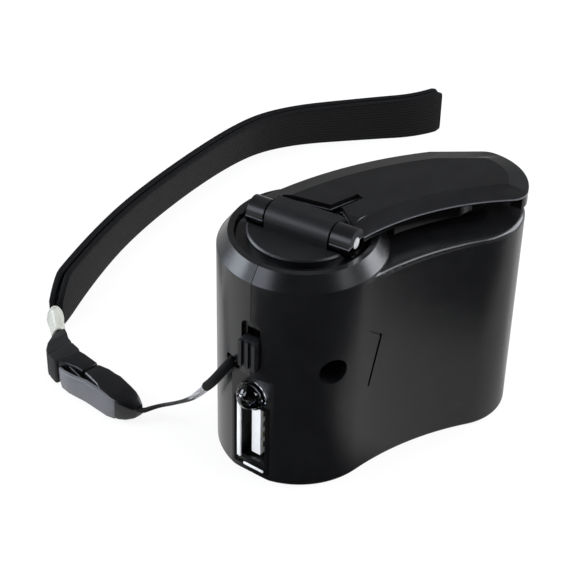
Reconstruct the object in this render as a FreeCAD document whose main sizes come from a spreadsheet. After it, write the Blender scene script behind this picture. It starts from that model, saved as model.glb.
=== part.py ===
import FreeCAD, Part
import math
import os
import re

import Sketcher
from FreeCAD import Placement, Rotation, Vector

# Hand crank phone charger: a bean-shaped two-part housing with a round turret at its big end.
# A turntable in the turret carries a fold-flat crank arm. Its shaft drives a three-step gear
# train and a small motor that works as a generator. Socket, lamp and slide switch sit one above
# the other on the big end, and a wrist lanyard comes out beside the switch.
#
# Frame: millimetres, +Z up, origin on the base plane below the turret's axis, +X along the
# housing towards its small end. The hollow side of the bean faces -Y.
# "Port frame": turned by port_angle about Z, so that its X points out of the socket.
# "Hinge frame": turned by hinge_angle about Z, so that its X runs along the hinge pin.

DIMENSIONS = [
    # housing outline and heights
    ("big_radius", 15.0), ("small_radius", 11.2), ("spine_chord", 31.5), ("back_radius", 70.0),
    ("front_radius", 54.5), ("shelf_height", 43.0), ("turret_rise", 3.1), ("wall", 1.8),
    ("rim_round", 1.0), ("base_round", 0.5), ("turret_rim_radius", 13.1), ("turret_step", 0.4),
    ("well_radius", 12.0), ("well_rise", 0.2), ("seam_gap", 0.12), ("seam_angle", 30.0),
    ("port_angle", -150.0), ("ledge_width", 1.2), ("ledge_thickness", 1.6), ("ledge_reach", 20.0),
    # screw that holds the two shells
    ("screw_x", -0.6), ("boss_space", 0.3), ("screw_head_radius", 2.6), ("screw_recess_depth", 9.0),
    ("screw_shank_radius", 1.1), ("screw_length", 14.0), ("boss_radius", 3.1), ("fit_gap", 0.05),
    # crease in the front shell, beside the screw
    ("crease_width", 0.45), ("crease_depth", 0.3), ("crease_x", 7.4), ("crease_top", 31.6),
    ("crease_tip", 29.4), ("crease_foot", 19.0), ("crease_reach", 2.4),
    # socket, lamp, switch and lanyard slot, in the port frame
    ("facet_depth", 0.7), ("facet_width", 9.2), ("facet_top", 23.3), ("usb_width", 5.8),
    ("usb_height", 13.2), ("usb_depth", 13.6), ("usb_z", 9.4), ("usb_metal", 0.35),
    ("usb_inset", 0.25), ("usb_lip", 0.3), ("tongue_width", 1.9), ("tongue_height", 11.2),
    ("tongue_inset", 1.0), ("tongue_shift", -0.1), ("contact_width", 1.1), ("contact_pitch", 2.4),
    ("contact_thickness", 0.15), ("led_radius", 2.5), ("led_flange_radius", 2.9),
    ("led_flange_thickness", 0.9), ("led_length", 7.6), ("led_rise", 0.7), ("led_z", 18.9),
    ("lead_radius", 0.25), ("lead_pitch", 2.54), ("lead_length", 4.0), ("slot_width", 4.2),
    ("slot_height", 10.2), ("slot_corner", 1.4), ("knob_corner", 0.5),
    ("slot_share", 0.7), ("slot_depth", 0.9), ("stem_width", 2.0), ("stem_height", 3.2),
    ("switch_travel", 2.8), ("knob_width", 3.5), ("knob_height", 6.2), ("knob_proud", 1.3),
    ("ridge_count", 3), ("ridge_width", 0.65), ("ridge_height", 0.5), ("lanyard_y", -4.3),
    ("lanyard_drop", 5.7), ("lanyard_slot_length", 3.7), ("lanyard_slot_radius", 0.95),
    ("lanyard_bar_radius", 0.5), ("lanyard_bar_x", 11.7), ("lanyard_bar_length", 6.4),
    # turntable, hinge and crank arm
    ("disk_radius", 9.9), ("disk_thickness", 3.0), ("flange_radius", 11.7),
    ("flange_thickness", 1.4), ("disk_lift", 0.4), ("disk_chamfer", 0.3), ("shaft_radius", 2.0),
    ("washer_radius", 6.0),
    ("hinge_angle", -54.0), ("hinge_offset", -1.0), ("hinge_rise", 1.2), ("barrel_radius", 2.6),
    ("barrel_start", -5.8), ("barrel_end", 6.5), ("bar_back", 2.5), ("bar_slope_back", 4.3),
    ("bar_slope_drop", 1.7), ("knuckle_radius", 2.6), ("knuckle_left", -9.4),
    ("knuckle_right", 10.7), ("hinge_gap", 0.35), ("pin_radius", 1.0),
    ("pin_reach", 0.1), ("pin_head_step", 0.2), ("pin_head_length", 0.4),
    ("arm_rise", 4.0), ("arm_thickness", 1.0), ("arm_crown", 0.9), ("arm_crown_angle", -76.0),
    ("skirt_drop", 1.4), ("skirt_wall", 1.4), ("turret_clearance", 0.6),
    ("arm_back_radius", 71.0), ("arm_root_back_x", -5.8), ("arm_root_back_y", 8.6),
    ("arm_heel_back", 1.1), ("arm_heel_y", 11.1), ("arm_heel_angle", -22.0),
    ("arm_back_corner", 4.0), ("arm_tip_radius", 11.3), ("arm_front_corner", 3.4),
    ("arm_front_radius", 46.0), ("arm_waist_share", 0.7), ("arm_root_front_x", 7.4),
    ("arm_root_front_y", -8.4), ("notch_left", 5.4), ("notch_right", 6.7),
    ("notch_corner_x", 4.5), ("notch_shoulder_x", 8.4), ("notch_shoulder_y", 3.4),
    ("arm_slot_x", 5.6), ("arm_slot_y", -0.3), ("arm_slot_length", 6.4), ("arm_slot_width", 1.6),
    ("arm_slot_angle", 12.0), ("scoop_radius", 9.0), ("scoop_y", -14.2),
    ("scoop_height", 2.0),
    ("grip_back", 0.5), ("grip_y", 2.0), ("grip_radius", 6.0), ("grip_clearance", 0.5),
    ("grip_play", 0.2),
    ("grip_screw_radius", 1.3), ("grip_screw_head", 2.4), ("grip_screw_head_thickness", 0.7),
    # gear train
    ("train_reach", 63.0), ("drive_teeth", 44), ("first_pinion_teeth", 11), ("first_teeth", 32),
    ("second_pinion_teeth", 11), ("second_teeth", 24), ("motor_pinion_teeth", 9),
    ("first_gear_angle", 5.0), ("gear_thickness", 1.8), ("gear_step", 2.4),
    ("gear_floor_gap", 0.6), ("gear_ceiling_gap", 0.7),
    ("backlash", 0.16), ("axle_radius", 0.9), ("plate_thickness", 1.6),
    ("plate_ceiling_gap", 0.7), ("plate_gap", 0.35), ("plate_left", -3.9),
    ("bush_radius", 3.2), ("bush_bore_gap", 0.05), ("post_radius", 1.5),
    ("post_front_share", 0.686), ("post_front_y", -6.9), ("post_back_share", 0.533),
    ("post_back_y", 11.3),
    ("post_end_ahead", 6.1), ("post_end_y", 4.2), ("plate_screw_radius", 0.7),
    ("plate_screw_head", 1.3), ("plate_screw_head_thickness", 0.6), ("plate_screw_length", 6.0),
    # motor
    ("motor_radius", 9.2), ("motor_flats", 15.0), ("motor_bottom", 5.0), ("motor_cap", 1.8),
    ("motor_cap_inset", 0.4), ("motor_shaft_radius", 0.75), ("magnet_length", 14.0),
    ("magnet_start", 4.0),
    ("magnet_split", 2.4), ("commutator_radius", 2.2), ("commutator_length", 3.4),
    ("can_wall", 0.9), ("armature_radius", 5.4),
    ("magnet_inner", 6.1), ("motor_boss_radius", 2.9), ("terminal_spread", 9.0),
    ("terminal_width", 2.0), ("terminal_thickness", 0.5), ("terminal_height", 1.0),
    ("motor_screw_x", 2.3), ("motor_screw_y", 4.4),
    # circuit board and what is soldered to it, in the port frame
    ("board_thickness", 1.2), ("board_back", -1.0), ("board_front", 12.0),
    ("board_bottom", 2.6), ("board_step_x", 8.6), ("board_space", 1.5),
    ("switch_depth", 3.6), ("switch_width", 4.8), ("switch_height", 8.6),
    ("switch_front", 12.3), ("capacitor_radius", 2.5), ("capacitor_height", 6.0),
    ("capacitor_x", 3.0), ("capacitor_z", 9.0), ("inductor_radius", 2.6),
    ("inductor_height", 3.2), ("inductor_x", 4.0), ("inductor_space", 3.3), ("chip_length", 4.9),
    ("chip_width", 3.9), ("chip_height", 1.5), ("chip_x", 8.8), ("chip_z", 12.0),
    ("diode_radius", 0.9), ("diode_length", 3.0), ("diode_pitch", 2.6), ("diode_x", 9.4),
    ("diode_z", 17.2), ("wire_radius", 0.5),
    # lanyard
    ("cord_diameter", 0.7), ("cord_pitch", 2.1), ("cord_pair_pitch", 1.0),
    ("strap_width", 10.5), ("strap_layer", 1.2),
    ("strap_gap", 0.6), ("link_thickness", 1.4), ("link_height", 5.0), ("link_length", 8.4),
    ("ferrule_x", -32.6), ("ferrule_y", 43.7), ("ferrule_angle", -101.0),
    ("ferrule_length", 4.6), ("ferrule_width", 3.8), ("ferrule_height", 6.4),
    ("ferrule_wall", 0.6), ("buckle_x", -31.4), ("buckle_y", 25.8), ("buckle_angle", -71.0),
    ("buckle_length", 23.0), ("buckle_width", 6.4), ("buckle_nose", 4.4), ("nose_length", 3.5),
    ("heel_width", 5.4), ("heel_length", 10.5), ("heel_waist", 4.6), ("heel_waist_x", 5.8),
    ("buckle_split", 0.15), ("buckle_corner", 1.6), ("buckle_thickness", 5.2),
    ("buckle_wall", 0.9), ("prong_width", 1.0), ("prong_play", 0.2), ("window_length", 8.4),
    ("heel_slot_width", 1.8), ("heel_bar", 1.4), ("tongue_blade", 1.0),
]
ALIASES = {alias for alias, number in DIMENSIONS}

# heights and places that follow from the sizes above
FOLLOWING = {
    "turret_height": "shelf_height + turret_rise",
    "turret_foot": "shelf_height + turret_step",
    "well_floor": "shelf_height + well_rise",
    "disk_bottom": "well_floor + disk_lift",
    "flange_top": "disk_bottom + flange_thickness",
    "disk_top": "disk_bottom + disk_thickness",
    "hinge_height": "disk_top + hinge_rise",
    "arm_under": "shelf_height + arm_rise",
    "arm_edge_height": "arm_under + arm_thickness",
    "skirt_bottom": "arm_under - skirt_drop",
    "scoop_top": "skirt_bottom + scoop_height",
    "arm_heel_x": "spine_chord - arm_heel_back",
    "arm_waist_x": "spine_chord * arm_waist_share",
    "grip_x": "spine_chord - grip_back",
    "grip_bottom": "shelf_height + grip_clearance",
    "grip_top": "arm_under - grip_play",
    "upper_plate_bottom": "shelf_height - wall - plate_ceiling_gap - plate_thickness",
    "gear_floor": "upper_plate_bottom - gear_ceiling_gap - 2 * gear_step - gear_thickness",
    "plate_bottom": "gear_floor - gear_floor_gap - plate_thickness",
    "gear_module": "spine_chord / train_reach",
    "screw_z": "plate_bottom - boss_radius - boss_space",
    "inductor_z": "screw_z - boss_radius - inductor_radius - inductor_space",
    "slot_z": "shelf_height * slot_share",
    "lanyard_z": "slot_z - lanyard_drop",
    "board_step_z": "screw_z - boss_radius - board_space",
    "board_top": "slot_z + switch_height / 2",
    "post_front_x": "spine_chord * post_front_share",
    "post_back_x": "spine_chord * post_back_share",
    "post_end_x": "spine_chord + post_end_ahead",
    "motor_shaft_top": "gear_floor + gear_step",
    "facet_face": "big_radius - facet_depth",
    "nose_start": "buckle_length / 2 - nose_length",
    "socket_start": "heel_length - buckle_length / 2 + buckle_split",
    "socket_end": "buckle_length / 2",
    "heel_start": "0 - buckle_length / 2",
}

doc = FreeCAD.newDocument("hand_crank_charger")
sheet = doc.addObject("Spreadsheet::Sheet", "dims")
for row, (alias, number) in enumerate(DIMENSIONS, start=1):
    sheet.set(f"A{row}", alias)
    sheet.set(f"B{row}", str(number))
    sheet.setAlias(f"B{row}", alias)
doc.recompute()

X_AXIS = Vector(1, 0, 0)
Y_AXIS = Vector(0, 1, 0)
Z_AXIS = Vector(0, 0, 1)
nodes = []


# ---- helpers: sizes from the sheet, primitives, booleans and sketches ----------------------

def on_sheet(formula):
    """The formula with every name led back to the sheet."""
    def lead_back(word):
        if word.group() in FOLLOWING:
            return f"({on_sheet(FOLLOWING[word.group()])})"
        return "dims." + word.group() if word.group() in ALIASES else word.group()
    return re.sub(r"[a-z_]+", lead_back, str(formula))


def size(formula):
    """The number that a name or a formula has on the sheet now."""
    return float(sheet.evalExpression(on_sheet(formula)))


def bind(item, **formulas):
    """Tie properties of an object to formulas on the sheet. A double underscore is a dot."""
    for path, formula in formulas.items():
        item.setExpression(path.replace("__", "."), on_sheet(formula))
    return item


def place(item, x="0", y="0", z="0"):
    return bind(item, Placement__Base__x=x, Placement__Base__y=y, Placement__Base__z=z)


def turn(item, angle):
    """Turn a whole piece about Z by a sheet angle, into the port or the hinge frame."""
    item.Placement = Placement(Vector(), Rotation(Z_AXIS, 1))
    return bind(item, Placement__Rotation__Angle=angle)


def block(name, length, width, height, x, y, z):
    """A box with its low corner at x, y, z."""
    box = doc.addObject("Part::Box", name)
    bind(box, Length=length, Width=width, Height=height)
    return place(box, x, y, z)


def rod(name, radius, height, x="0", y="0", z="0", along=Z_AXIS):
    """A cylinder that starts at x, y, z and runs along an axis."""
    cylinder = doc.addObject("Part::Cylinder", name)
    cylinder.Placement = Placement(Vector(), Rotation(Z_AXIS, along))
    bind(cylinder, Radius=radius, Height=height)
    return place(cylinder, x, y, z)


def fuse(name, *items):
    union = doc.addObject("Part::MultiFuse", name)
    union.Shapes = list(items)
    union.Refine = True
    return union


def rounded_block(name, start, length, width, height, level, corner):
    """A bar along X from start, centred on y = 0 and on the level, with four round corners."""
    side = f"({width} / 2 - {corner})"
    rise = f"({height} / 2 - {corner})"
    return fuse(
        name,
        block(name + "_wide", length, width, f"2 * {rise}", start, f"-{width} / 2",
              f"{level} - {rise}"),
        block(name + "_tall", length, f"2 * {side}", height, start, f"-{side}",
              f"{level} - {height} / 2"),
        *[rod(f"{name}_corner_{k}", corner, length, start, f"{across} * {side}",
              f"{level} + {up} * {rise}", X_AXIS)
          for k, (across, up) in enumerate(((-1, -1), (-1, 1), (1, -1), (1, 1)))])


def cut(name, base, tool):
    rest = doc.addObject("Part::Cut", name)
    rest.Base = base
    rest.Tool = tool
    return rest


def shared(name, base, tool):
    common = doc.addObject("Part::Common", name)
    common.Base = base
    common.Tool = tool
    return common


def group(name, *items):
    """Separate solids that share one node, such as a set of screws."""
    together = doc.addObject("Part::Compound", name)
    together.Links = list(items)
    return together


def node(item):
    nodes.append(item)
    return item


def new_sketch(name, body=None, role="XY_Plane"):
    if body is None:
        return doc.addObject("Sketcher::SketchObject", name)
    sketch = body.newObject("Sketcher::SketchObject", name)
    plane = [feature for feature in body.Origin.OriginFeatures if feature.Role == role][0]
    sketch.AttachmentSupport = [(plane, "")]
    sketch.MapMode = "FlatFace"
    return sketch


def hold(sketch, kind, *where, formula):
    """Add a driving constraint and tie its value to the sheet."""
    value = float(sketch.evalExpression(on_sheet(formula)))
    start = math.radians(value) if kind == "Angle" else value
    number = sketch.addConstraint(Sketcher.Constraint(kind, *where, start))
    bind(sketch, **{f"Constraints[{number}]": formula})


def pin_point(sketch, edge, end, x, y):
    """Place one end of an edge at x, y from the sketch's origin."""
    hold(sketch, "DistanceX", -1, 1, edge, end, formula=x)
    hold(sketch, "DistanceY", -1, 1, edge, end, formula=y)


def polygon(name, corners, body=None, role="XY_Plane"):
    """A closed outline of straight edges, each corner a pair of formulas."""
    sketch = new_sketch(name, body, role)
    count = len(corners)
    spots = [Vector(math.cos(2 * math.pi * k / count), math.sin(2 * math.pi * k / count), 0)
             for k in range(count)]
    for k in range(count):
        sketch.addGeometry(Part.LineSegment(spots[k], spots[(k + 1) % count]))
    for k in range(count):
        sketch.addConstraint(Sketcher.Constraint("Coincident", k, 2, (k + 1) % count, 1))
    for k, (x, y) in enumerate(corners):
        pin_point(sketch, k, 1, x, y)
    return sketch


def extrude(name, outline, height, along=Z_AXIS):
    prism = doc.addObject("Part::Extrusion", name)
    prism.Base = outline
    prism.DirMode = "Custom"
    prism.Dir = along
    prism.Solid = True
    return bind(prism, LengthFwd=height)


def spin(name, profile, corners, x="0", y="0"):
    """A body turned about a vertical axis from a half profile of radius, height corners."""
    body = doc.addObject("PartDesign::Body", name)
    outline = polygon(profile, corners, body, "XZ_Plane")
    turned = body.newObject("PartDesign::Revolution", profile + "_turned")
    turned.Profile = outline
    turned.ReferenceAxis = (outline, ["V_Axis"])
    turned.Angle = 360.0
    body.Tip = turned
    return place(body, x, y)


# ---- bean outline ----------------------------------------------------------------------

def bean(name, insets=(), body=None):
    """The housing's outline, moved inward by the insets: four arcs, each tangent to the next."""
    step = -sum(size(alias) for alias in insets)
    inward = "".join(f" - {alias}" for alias in insets)
    outward = inward.replace("-", "+")
    chord = size("spine_chord")
    big, small = size("big_radius") + step, size("small_radius") + step
    back, front = size("back_radius") + step, size("front_radius") - step
    small_centre = Vector(chord, 0, 0)

    def touching(reach_big, reach_small):
        along = (reach_big ** 2 - reach_small ** 2 + chord ** 2) / (2 * chord)
        return Vector(along, -math.sqrt(reach_big ** 2 - along ** 2), 0)

    back_centre = touching(back - big, back - small)
    front_centre = touching(front + big, front + small)
    back_big = back_centre + (Vector() - back_centre).normalize() * back
    back_small = back_centre + (small_centre - back_centre).normalize() * back
    front_big = front_centre + (Vector() - front_centre).normalize() * front
    front_small = front_centre + (small_centre - front_centre).normalize() * front
    sketch = new_sketch(name, body)
    sketch.addGeometry([
        Part.Arc(back_big, Vector(-big, 0, 0), front_big),
        Part.Arc(front_big, front_centre + Vector(0, front, 0), front_small),
        Part.Arc(front_small, small_centre + Vector(small, 0, 0), back_small),
        Part.Arc(back_small, back_centre + Vector(0, back, 0), back_big),
    ])
    # arcs are stored counter-clockwise, so each joint names the ends that really meet
    ends = [(sketch.getPoint(edge, 1), sketch.getPoint(edge, 2)) for edge in range(4)]
    for edge in range(4):
        after = (edge + 1) % 4
        meet = min(((one, two) for one in (1, 2) for two in (1, 2)),
                   key=lambda pair: ends[edge][pair[0] - 1].distanceToPoint(
                       ends[after][pair[1] - 1]))
        sketch.addConstraint(Sketcher.Constraint("Tangent", edge, meet[0], after, meet[1]))
    sketch.addConstraint(Sketcher.Constraint("Coincident", 0, 3, -1, 1))
    sketch.addConstraint(Sketcher.Constraint("PointOnObject", 2, 3, -1))
    hold(sketch, "DistanceX", -1, 1, 2, 3, formula="spine_chord")
    hold(sketch, "Radius", 0, formula="big_radius" + inward)
    hold(sketch, "Radius", 1, formula="front_radius" + outward)
    hold(sketch, "Radius", 2, formula="small_radius" + inward)
    hold(sketch, "Radius", 3, formula="back_radius" + inward)
    return sketch


# ---- housing: one blank, parted along its curved spine into two shells ---------------------

outer = doc.addObject("PartDesign::Body", "housing_outer")
outer_pad = outer.newObject("PartDesign::Pad", "housing_pad")
outer_pad.Profile = bean("housing_outline", (), outer)
bind(outer_pad, Length="shelf_height")
doc.recompute()


def edges_at(feature, height):
    """Names of a feature's edges that lie in the plane at that height."""
    names = []
    for index, edge in enumerate(feature.Shape.Edges, start=1):
        box = edge.BoundBox
        if abs(box.ZMin - height) < 1e-6 and abs(box.ZMax - height) < 1e-6:
            names.append(f"Edge{index}")
    return names


for name, height, radius in (("shelf_round", size("shelf_height"), "rim_round"),
                             ("floor_round", 0.0, "base_round")):
    below = outer.Tip
    rounded = outer.newObject("PartDesign::Fillet", name)
    rounded.Base = (below, edges_at(below, height))
    bind(rounded, Radius=radius)
    outer.Tip = rounded
    doc.recompute()

turret_wall = rod("turret_wall", "big_radius", "turret_foot - shelf_height + rim_round + wall",
                  z="shelf_height - rim_round - wall")
turret_cone = doc.addObject("Part::Cone", "turret_cone")
bind(turret_cone, Radius1="big_radius", Radius2="turret_rim_radius",
     Height="turret_height - turret_foot")
place(turret_cone, z="turret_foot")
solid_housing = fuse("housing_solid", outer, turret_wall, turret_cone)

cavity = doc.addObject("PartDesign::Body", "housing_cavity")
cavity_pad = cavity.newObject("PartDesign::Pad", "cavity_pad")
cavity_pad.Profile = bean("cavity_outline", ("wall",), cavity)
bind(cavity_pad, Length="shelf_height - 2 * wall")
place(cavity, z="wall")
well = rod("turret_well", "well_radius", "turret_height - well_floor + 1", z="well_floor")
bush_hole = rod("bush_hole", "bush_radius + fit_gap", "turret_height", z="wall")
hollow = fuse("housing_hollow", cavity, well, bush_hole)

# a ledge round the big end carries the lower gear plate
ledge_outer = extrude("ledge_outer", bean("ledge_outline"), "ledge_thickness")
place(ledge_outer, z="plate_bottom - ledge_thickness")
ledge_inner = rod("ledge_inner", "big_radius - wall - ledge_width", "ledge_thickness",
                  z="plate_bottom - ledge_thickness")
ledge_right = block("ledge_right", "spine_chord + 2 * big_radius", "4 * big_radius",
                    "ledge_thickness", "big_radius - wall - ledge_width - 3",
                    "-2 * big_radius", "plate_bottom - ledge_thickness")
ledge_left = block("ledge_left", "2 * big_radius", "4 * big_radius", "ledge_thickness",
                   "-2 * big_radius - 4", "-2 * big_radius",
                   "plate_bottom - ledge_thickness")
ledge = cut("plate_ledge", ledge_outer, fuse("ledge_space", ledge_inner, ledge_right, ledge_left))
blank = fuse("housing_blank", cut("housing_hollowed", solid_housing, hollow), ledge)


def side_region(name, shift):
    """Everything on the hollow side of the spine, which is an arc run out in straight lines."""
    radius = f"spine_chord / 2 / sin(seam_angle) {shift}"
    sketch = new_sketch(name + "_outline")
    tilt = math.radians(size("seam_angle"))
    arc_radius = size("spine_chord") / 2 / math.sin(tilt)
    centre = Vector(size("spine_chord") / 2, -arc_radius * math.cos(tilt), 0)
    far = 3 * size("big_radius")
    left, right = centre + Vector(-1, math.sqrt(3), 0) * (arc_radius / 2), Vector()
    right = centre + Vector(1, math.sqrt(3), 0) * (arc_radius / 2)
    corners = [left, left + Vector(-far, -far / 2, 0), Vector(left.x - far, -2 * far, 0),
               Vector(right.x + far, -2 * far, 0), right + Vector(far, -far / 2, 0), right]
    sketch.addGeometry(Part.Arc(right, centre + Vector(0, arc_radius, 0), left))
    for start, end in zip(corners[:-1], corners[1:]):
        sketch.addGeometry(Part.LineSegment(start, end))
    for edge in range(1, 5):
        sketch.addConstraint(Sketcher.Constraint("Coincident", edge, 2, edge + 1, 1))
    sketch.addConstraint(Sketcher.Constraint("Tangent", 0, 2, 1, 1))
    sketch.addConstraint(Sketcher.Constraint("Tangent", 0, 1, 5, 2))
    sketch.addConstraint(Sketcher.Constraint("Vertical", 2))
    sketch.addConstraint(Sketcher.Constraint("Horizontal", 3))
    sketch.addConstraint(Sketcher.Constraint("Vertical", 4))
    pin_point(sketch, 0, 3, "spine_chord / 2", "-spine_chord / 2 / tan(seam_angle)")
    hold(sketch, "Radius", 0, formula=radius)
    hold(sketch, "DistanceX", -1, 1, 2, 1, formula="-4 * big_radius")
    hold(sketch, "DistanceX", -1, 1, 4, 1, formula="spine_chord + 4 * big_radius")
    hold(sketch, "DistanceY", -1, 1, 3, 1, formula="-6 * big_radius")
    hold(sketch, "DistanceX", 0, 2, 0, 3, formula=f"({radius}) * sin(seam_angle)")
    hold(sketch, "DistanceX", 0, 3, 0, 1, formula=f"({radius}) * sin(seam_angle)")
    return extrude(name, sketch, "turret_height + 1")


lanyard_lugs = turn(fuse(
    "lanyard_lugs",
    block("lug_low", "3 * wall", "2 * wall", "1", "lanyard_bar_x - lanyard_bar_radius - 0.4",
          "lanyard_y - wall", "lanyard_z - lanyard_bar_length / 2 - 1"),
    block("lug_high", "3 * wall", "2 * wall", "1", "lanyard_bar_x - lanyard_bar_radius - 0.4",
          "lanyard_y - wall", "lanyard_z + lanyard_bar_length / 2"),
), "port_angle")
rear_ribs = shared("rear_ribs", lanyard_lugs, solid_housing)

front_region = side_region("front_region", "- seam_gap / 2")
rear_limit = side_region("rear_limit", "+ seam_gap / 2")

# tools in the port frame: flat facet, socket hole, lamp hole, switch recess and stem slot
port_tools = fuse(
    "port_tools",
    block("facet_tool", "big_radius", "facet_width", "facet_top + 1", "facet_face",
          "-facet_width / 2", "-1"),
    block("socket_tool", "big_radius", "usb_width + 2 * fit_gap", "usb_height + 2 * fit_gap",
          "big_radius - 3 * wall", "-usb_width / 2 - fit_gap",
          "usb_z - usb_height / 2 - fit_gap"),
    rod("lamp_tool", "led_radius + fit_gap", "big_radius", "big_radius - 3 * wall", z="led_z",
        along=X_AXIS),
    rounded_block("switch_recess_tool", "big_radius - slot_depth", "big_radius", "slot_width",
                  "slot_height", "slot_z", "slot_corner"),
    block("stem_tool", "big_radius", "stem_width + 2 * hinge_gap",
          "stem_height + switch_travel + 2 * hinge_gap", "big_radius - 3 * wall",
          "-stem_width / 2 - hinge_gap",
          "slot_z - (stem_height + switch_travel) / 2 - hinge_gap"),
    block("lanyard_tool", "4 * wall", "lanyard_slot_length - 2 * lanyard_slot_radius",
          "2 * lanyard_slot_radius", "big_radius - 3 * wall",
          "lanyard_y - lanyard_slot_length / 2 + lanyard_slot_radius",
          "lanyard_z - lanyard_slot_radius"),
    rod("lanyard_tool_left", "lanyard_slot_radius", "4 * wall", "big_radius - 3 * wall",
        "lanyard_y - lanyard_slot_length / 2 + lanyard_slot_radius", "lanyard_z", X_AXIS),
    rod("lanyard_tool_right", "lanyard_slot_radius", "4 * wall", "big_radius - 3 * wall",
        "lanyard_y + lanyard_slot_length / 2 - lanyard_slot_radius", "lanyard_z", X_AXIS),
)
turn(port_tools, "port_angle")

# the screw goes in from the front through a recessed boss and bites in the rear shell's boss
boss_bar = shared("boss_bar", rod("boss_rod", "boss_radius", "4 * big_radius", "screw_x",
                                  "-2 * big_radius", "screw_z", Y_AXIS), solid_housing)
screw_seat = "(-big_radius + screw_recess_depth)"
front_bore = fuse(
    "front_bore",
    rod("screw_recess", "screw_head_radius", "big_radius + screw_recess_depth", "screw_x",
        "-2 * big_radius", "screw_z", Y_AXIS),
    rod("screw_passage", "screw_shank_radius + fit_gap", "2 * big_radius + boss_radius", "screw_x",
        "-2 * big_radius", "screw_z", Y_AXIS),
)
rear_bore = rod("screw_pilot", "screw_shank_radius + fit_gap",
                "screw_length + 0.5", "screw_x", screw_seat, "screw_z",
                Y_AXIS)

# a sharp crease like an arrow's head is moulded beside the screw, on the front wall
crease_tip_x = "(crease_x + crease_reach)"
crease_prism = extrude("crease_prism", polygon("crease_outline", [
    ("crease_x", "crease_top"), (crease_tip_x, "crease_tip"), ("crease_x", "crease_foot"),
    ("crease_x - crease_width", "crease_foot"),
    (crease_tip_x + " - 1.2 * crease_width", "crease_tip"),
    ("crease_x - 1.6 * crease_width", "crease_top"),
]), "2 * big_radius")
crease_prism.Placement = Placement(Vector(), Rotation(X_AXIS, 90))
crease_keep = extrude("crease_keep", bean("crease_floor", ("crease_depth",)), "shelf_height")
crease = cut("crease_tool", crease_prism, crease_keep)

front_half = shared("front_half", fuse("front_with_boss", blank, boss_bar), front_region)
front_tools = fuse("front_tools", port_tools, front_bore, crease)
node(cut("front_shell", front_half, front_tools))
rear_half = cut("rear_half", fuse("rear_with_boss", blank, boss_bar, rear_ribs), rear_limit)
node(cut("rear_shell", rear_half, fuse("rear_tools", port_tools, rear_bore)))

node(fuse("housing_screw",
          rod("screw_head", "screw_head_radius - 3 * fit_gap", "screw_shank_radius", "screw_x",
              screw_seat + " - screw_shank_radius", "screw_z", Y_AXIS),
          rod("screw_shank", "screw_shank_radius", "screw_length", "screw_x", screw_seat,
              "screw_z", Y_AXIS)))

# ---- turntable, its shaft and bearings -------------------------------------------------------

turned_disk = spin("turned_disk", "disk_profile", [
    ("0", "disk_bottom"), ("flange_radius", "disk_bottom"), ("flange_radius", "flange_top"),
    ("disk_radius", "flange_top"), ("disk_radius", "disk_top - disk_chamfer"),
    ("disk_radius - disk_chamfer", "disk_top"), ("0", "disk_top"),
])
# hinge frame: the bar's section is a barrel in front, a flat top and a slope down behind
bar_outline = new_sketch("bar_outline")
top, low = size("barrel_radius"), size("flange_top") - size("hinge_height")
section = [Vector(4, low, 0), Vector(4, 1, 0), Vector(2, top, 0), Vector(0, top, 0),
           Vector(-top, 0, 0), Vector(-top, low, 0)]
for start in (0, 1, 2):
    bar_outline.addGeometry(Part.LineSegment(section[start], section[start + 1]))
bar_outline.addGeometry(Part.Arc(section[3], Vector(-top, top, 0) * math.sqrt(0.5), section[4]))
bar_outline.addGeometry(Part.LineSegment(section[4], section[5]))
bar_outline.addGeometry(Part.LineSegment(section[5], section[0]))
for edge in range(6):
    bar_outline.addConstraint(Sketcher.Constraint("Coincident", edge, 2, (edge + 1) % 6, 1))
bar_outline.addConstraint(Sketcher.Constraint("Coincident", 3, 3, -1, 1))
bar_outline.addConstraint(Sketcher.Constraint("PointOnObject", 3, 2, -1))
bar_outline.addConstraint(Sketcher.Constraint("PointOnObject", 3, 1, -2))
hold(bar_outline, "Radius", 3, formula="barrel_radius")
pin_point(bar_outline, 0, 1, "bar_slope_back", "flange_top - hinge_height")
pin_point(bar_outline, 1, 1, "bar_slope_back", "barrel_radius - bar_slope_drop")
pin_point(bar_outline, 2, 1, "bar_back", "barrel_radius")
pin_point(bar_outline, 5, 1, "-barrel_radius", "flange_top - hinge_height")
bar_outline.Placement = Placement(Vector(), Rotation(Y_AXIS, Z_AXIS, X_AXIS, "ZXY"))
hinge_bar = extrude("hinge_bar", bar_outline, "barrel_end - barrel_start", X_AXIS)
place(hinge_bar, "barrel_start", "hinge_offset", "hinge_height")


def hinge_rod(name, radius, start, end):
    return rod(name, radius, f"{end} - ({start})", start, "hinge_offset", "hinge_height", X_AXIS)


disk_relief = fuse(
    "disk_relief",
    hinge_rod("relief_left", "knuckle_radius + hinge_gap", "-2 * disk_radius",
              "(barrel_start)"),
    hinge_rod("relief_right", "knuckle_radius + hinge_gap", "barrel_end", "(2 * disk_radius)"),
    hinge_rod("pin_hole", "pin_radius", "-2 * disk_radius", "(2 * disk_radius)"),
    rod("shaft_hole", "shaft_radius", "flange_top - disk_bottom", z="disk_bottom"),
)
node(turn(cut("rotor_disk", fuse("disk_with_bar", turned_disk, hinge_bar), disk_relief),
          "hinge_angle"))
node(turn(fuse(
    "hinge_pin",
    hinge_rod("pin_bar", "pin_radius", "knuckle_left - pin_reach", "(knuckle_right + pin_reach)"),
    hinge_rod("pin_head", "pin_radius + pin_head_step", "knuckle_left - pin_reach - pin_head_length",
              "(knuckle_left - pin_reach)"),
), "hinge_angle"))

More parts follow.
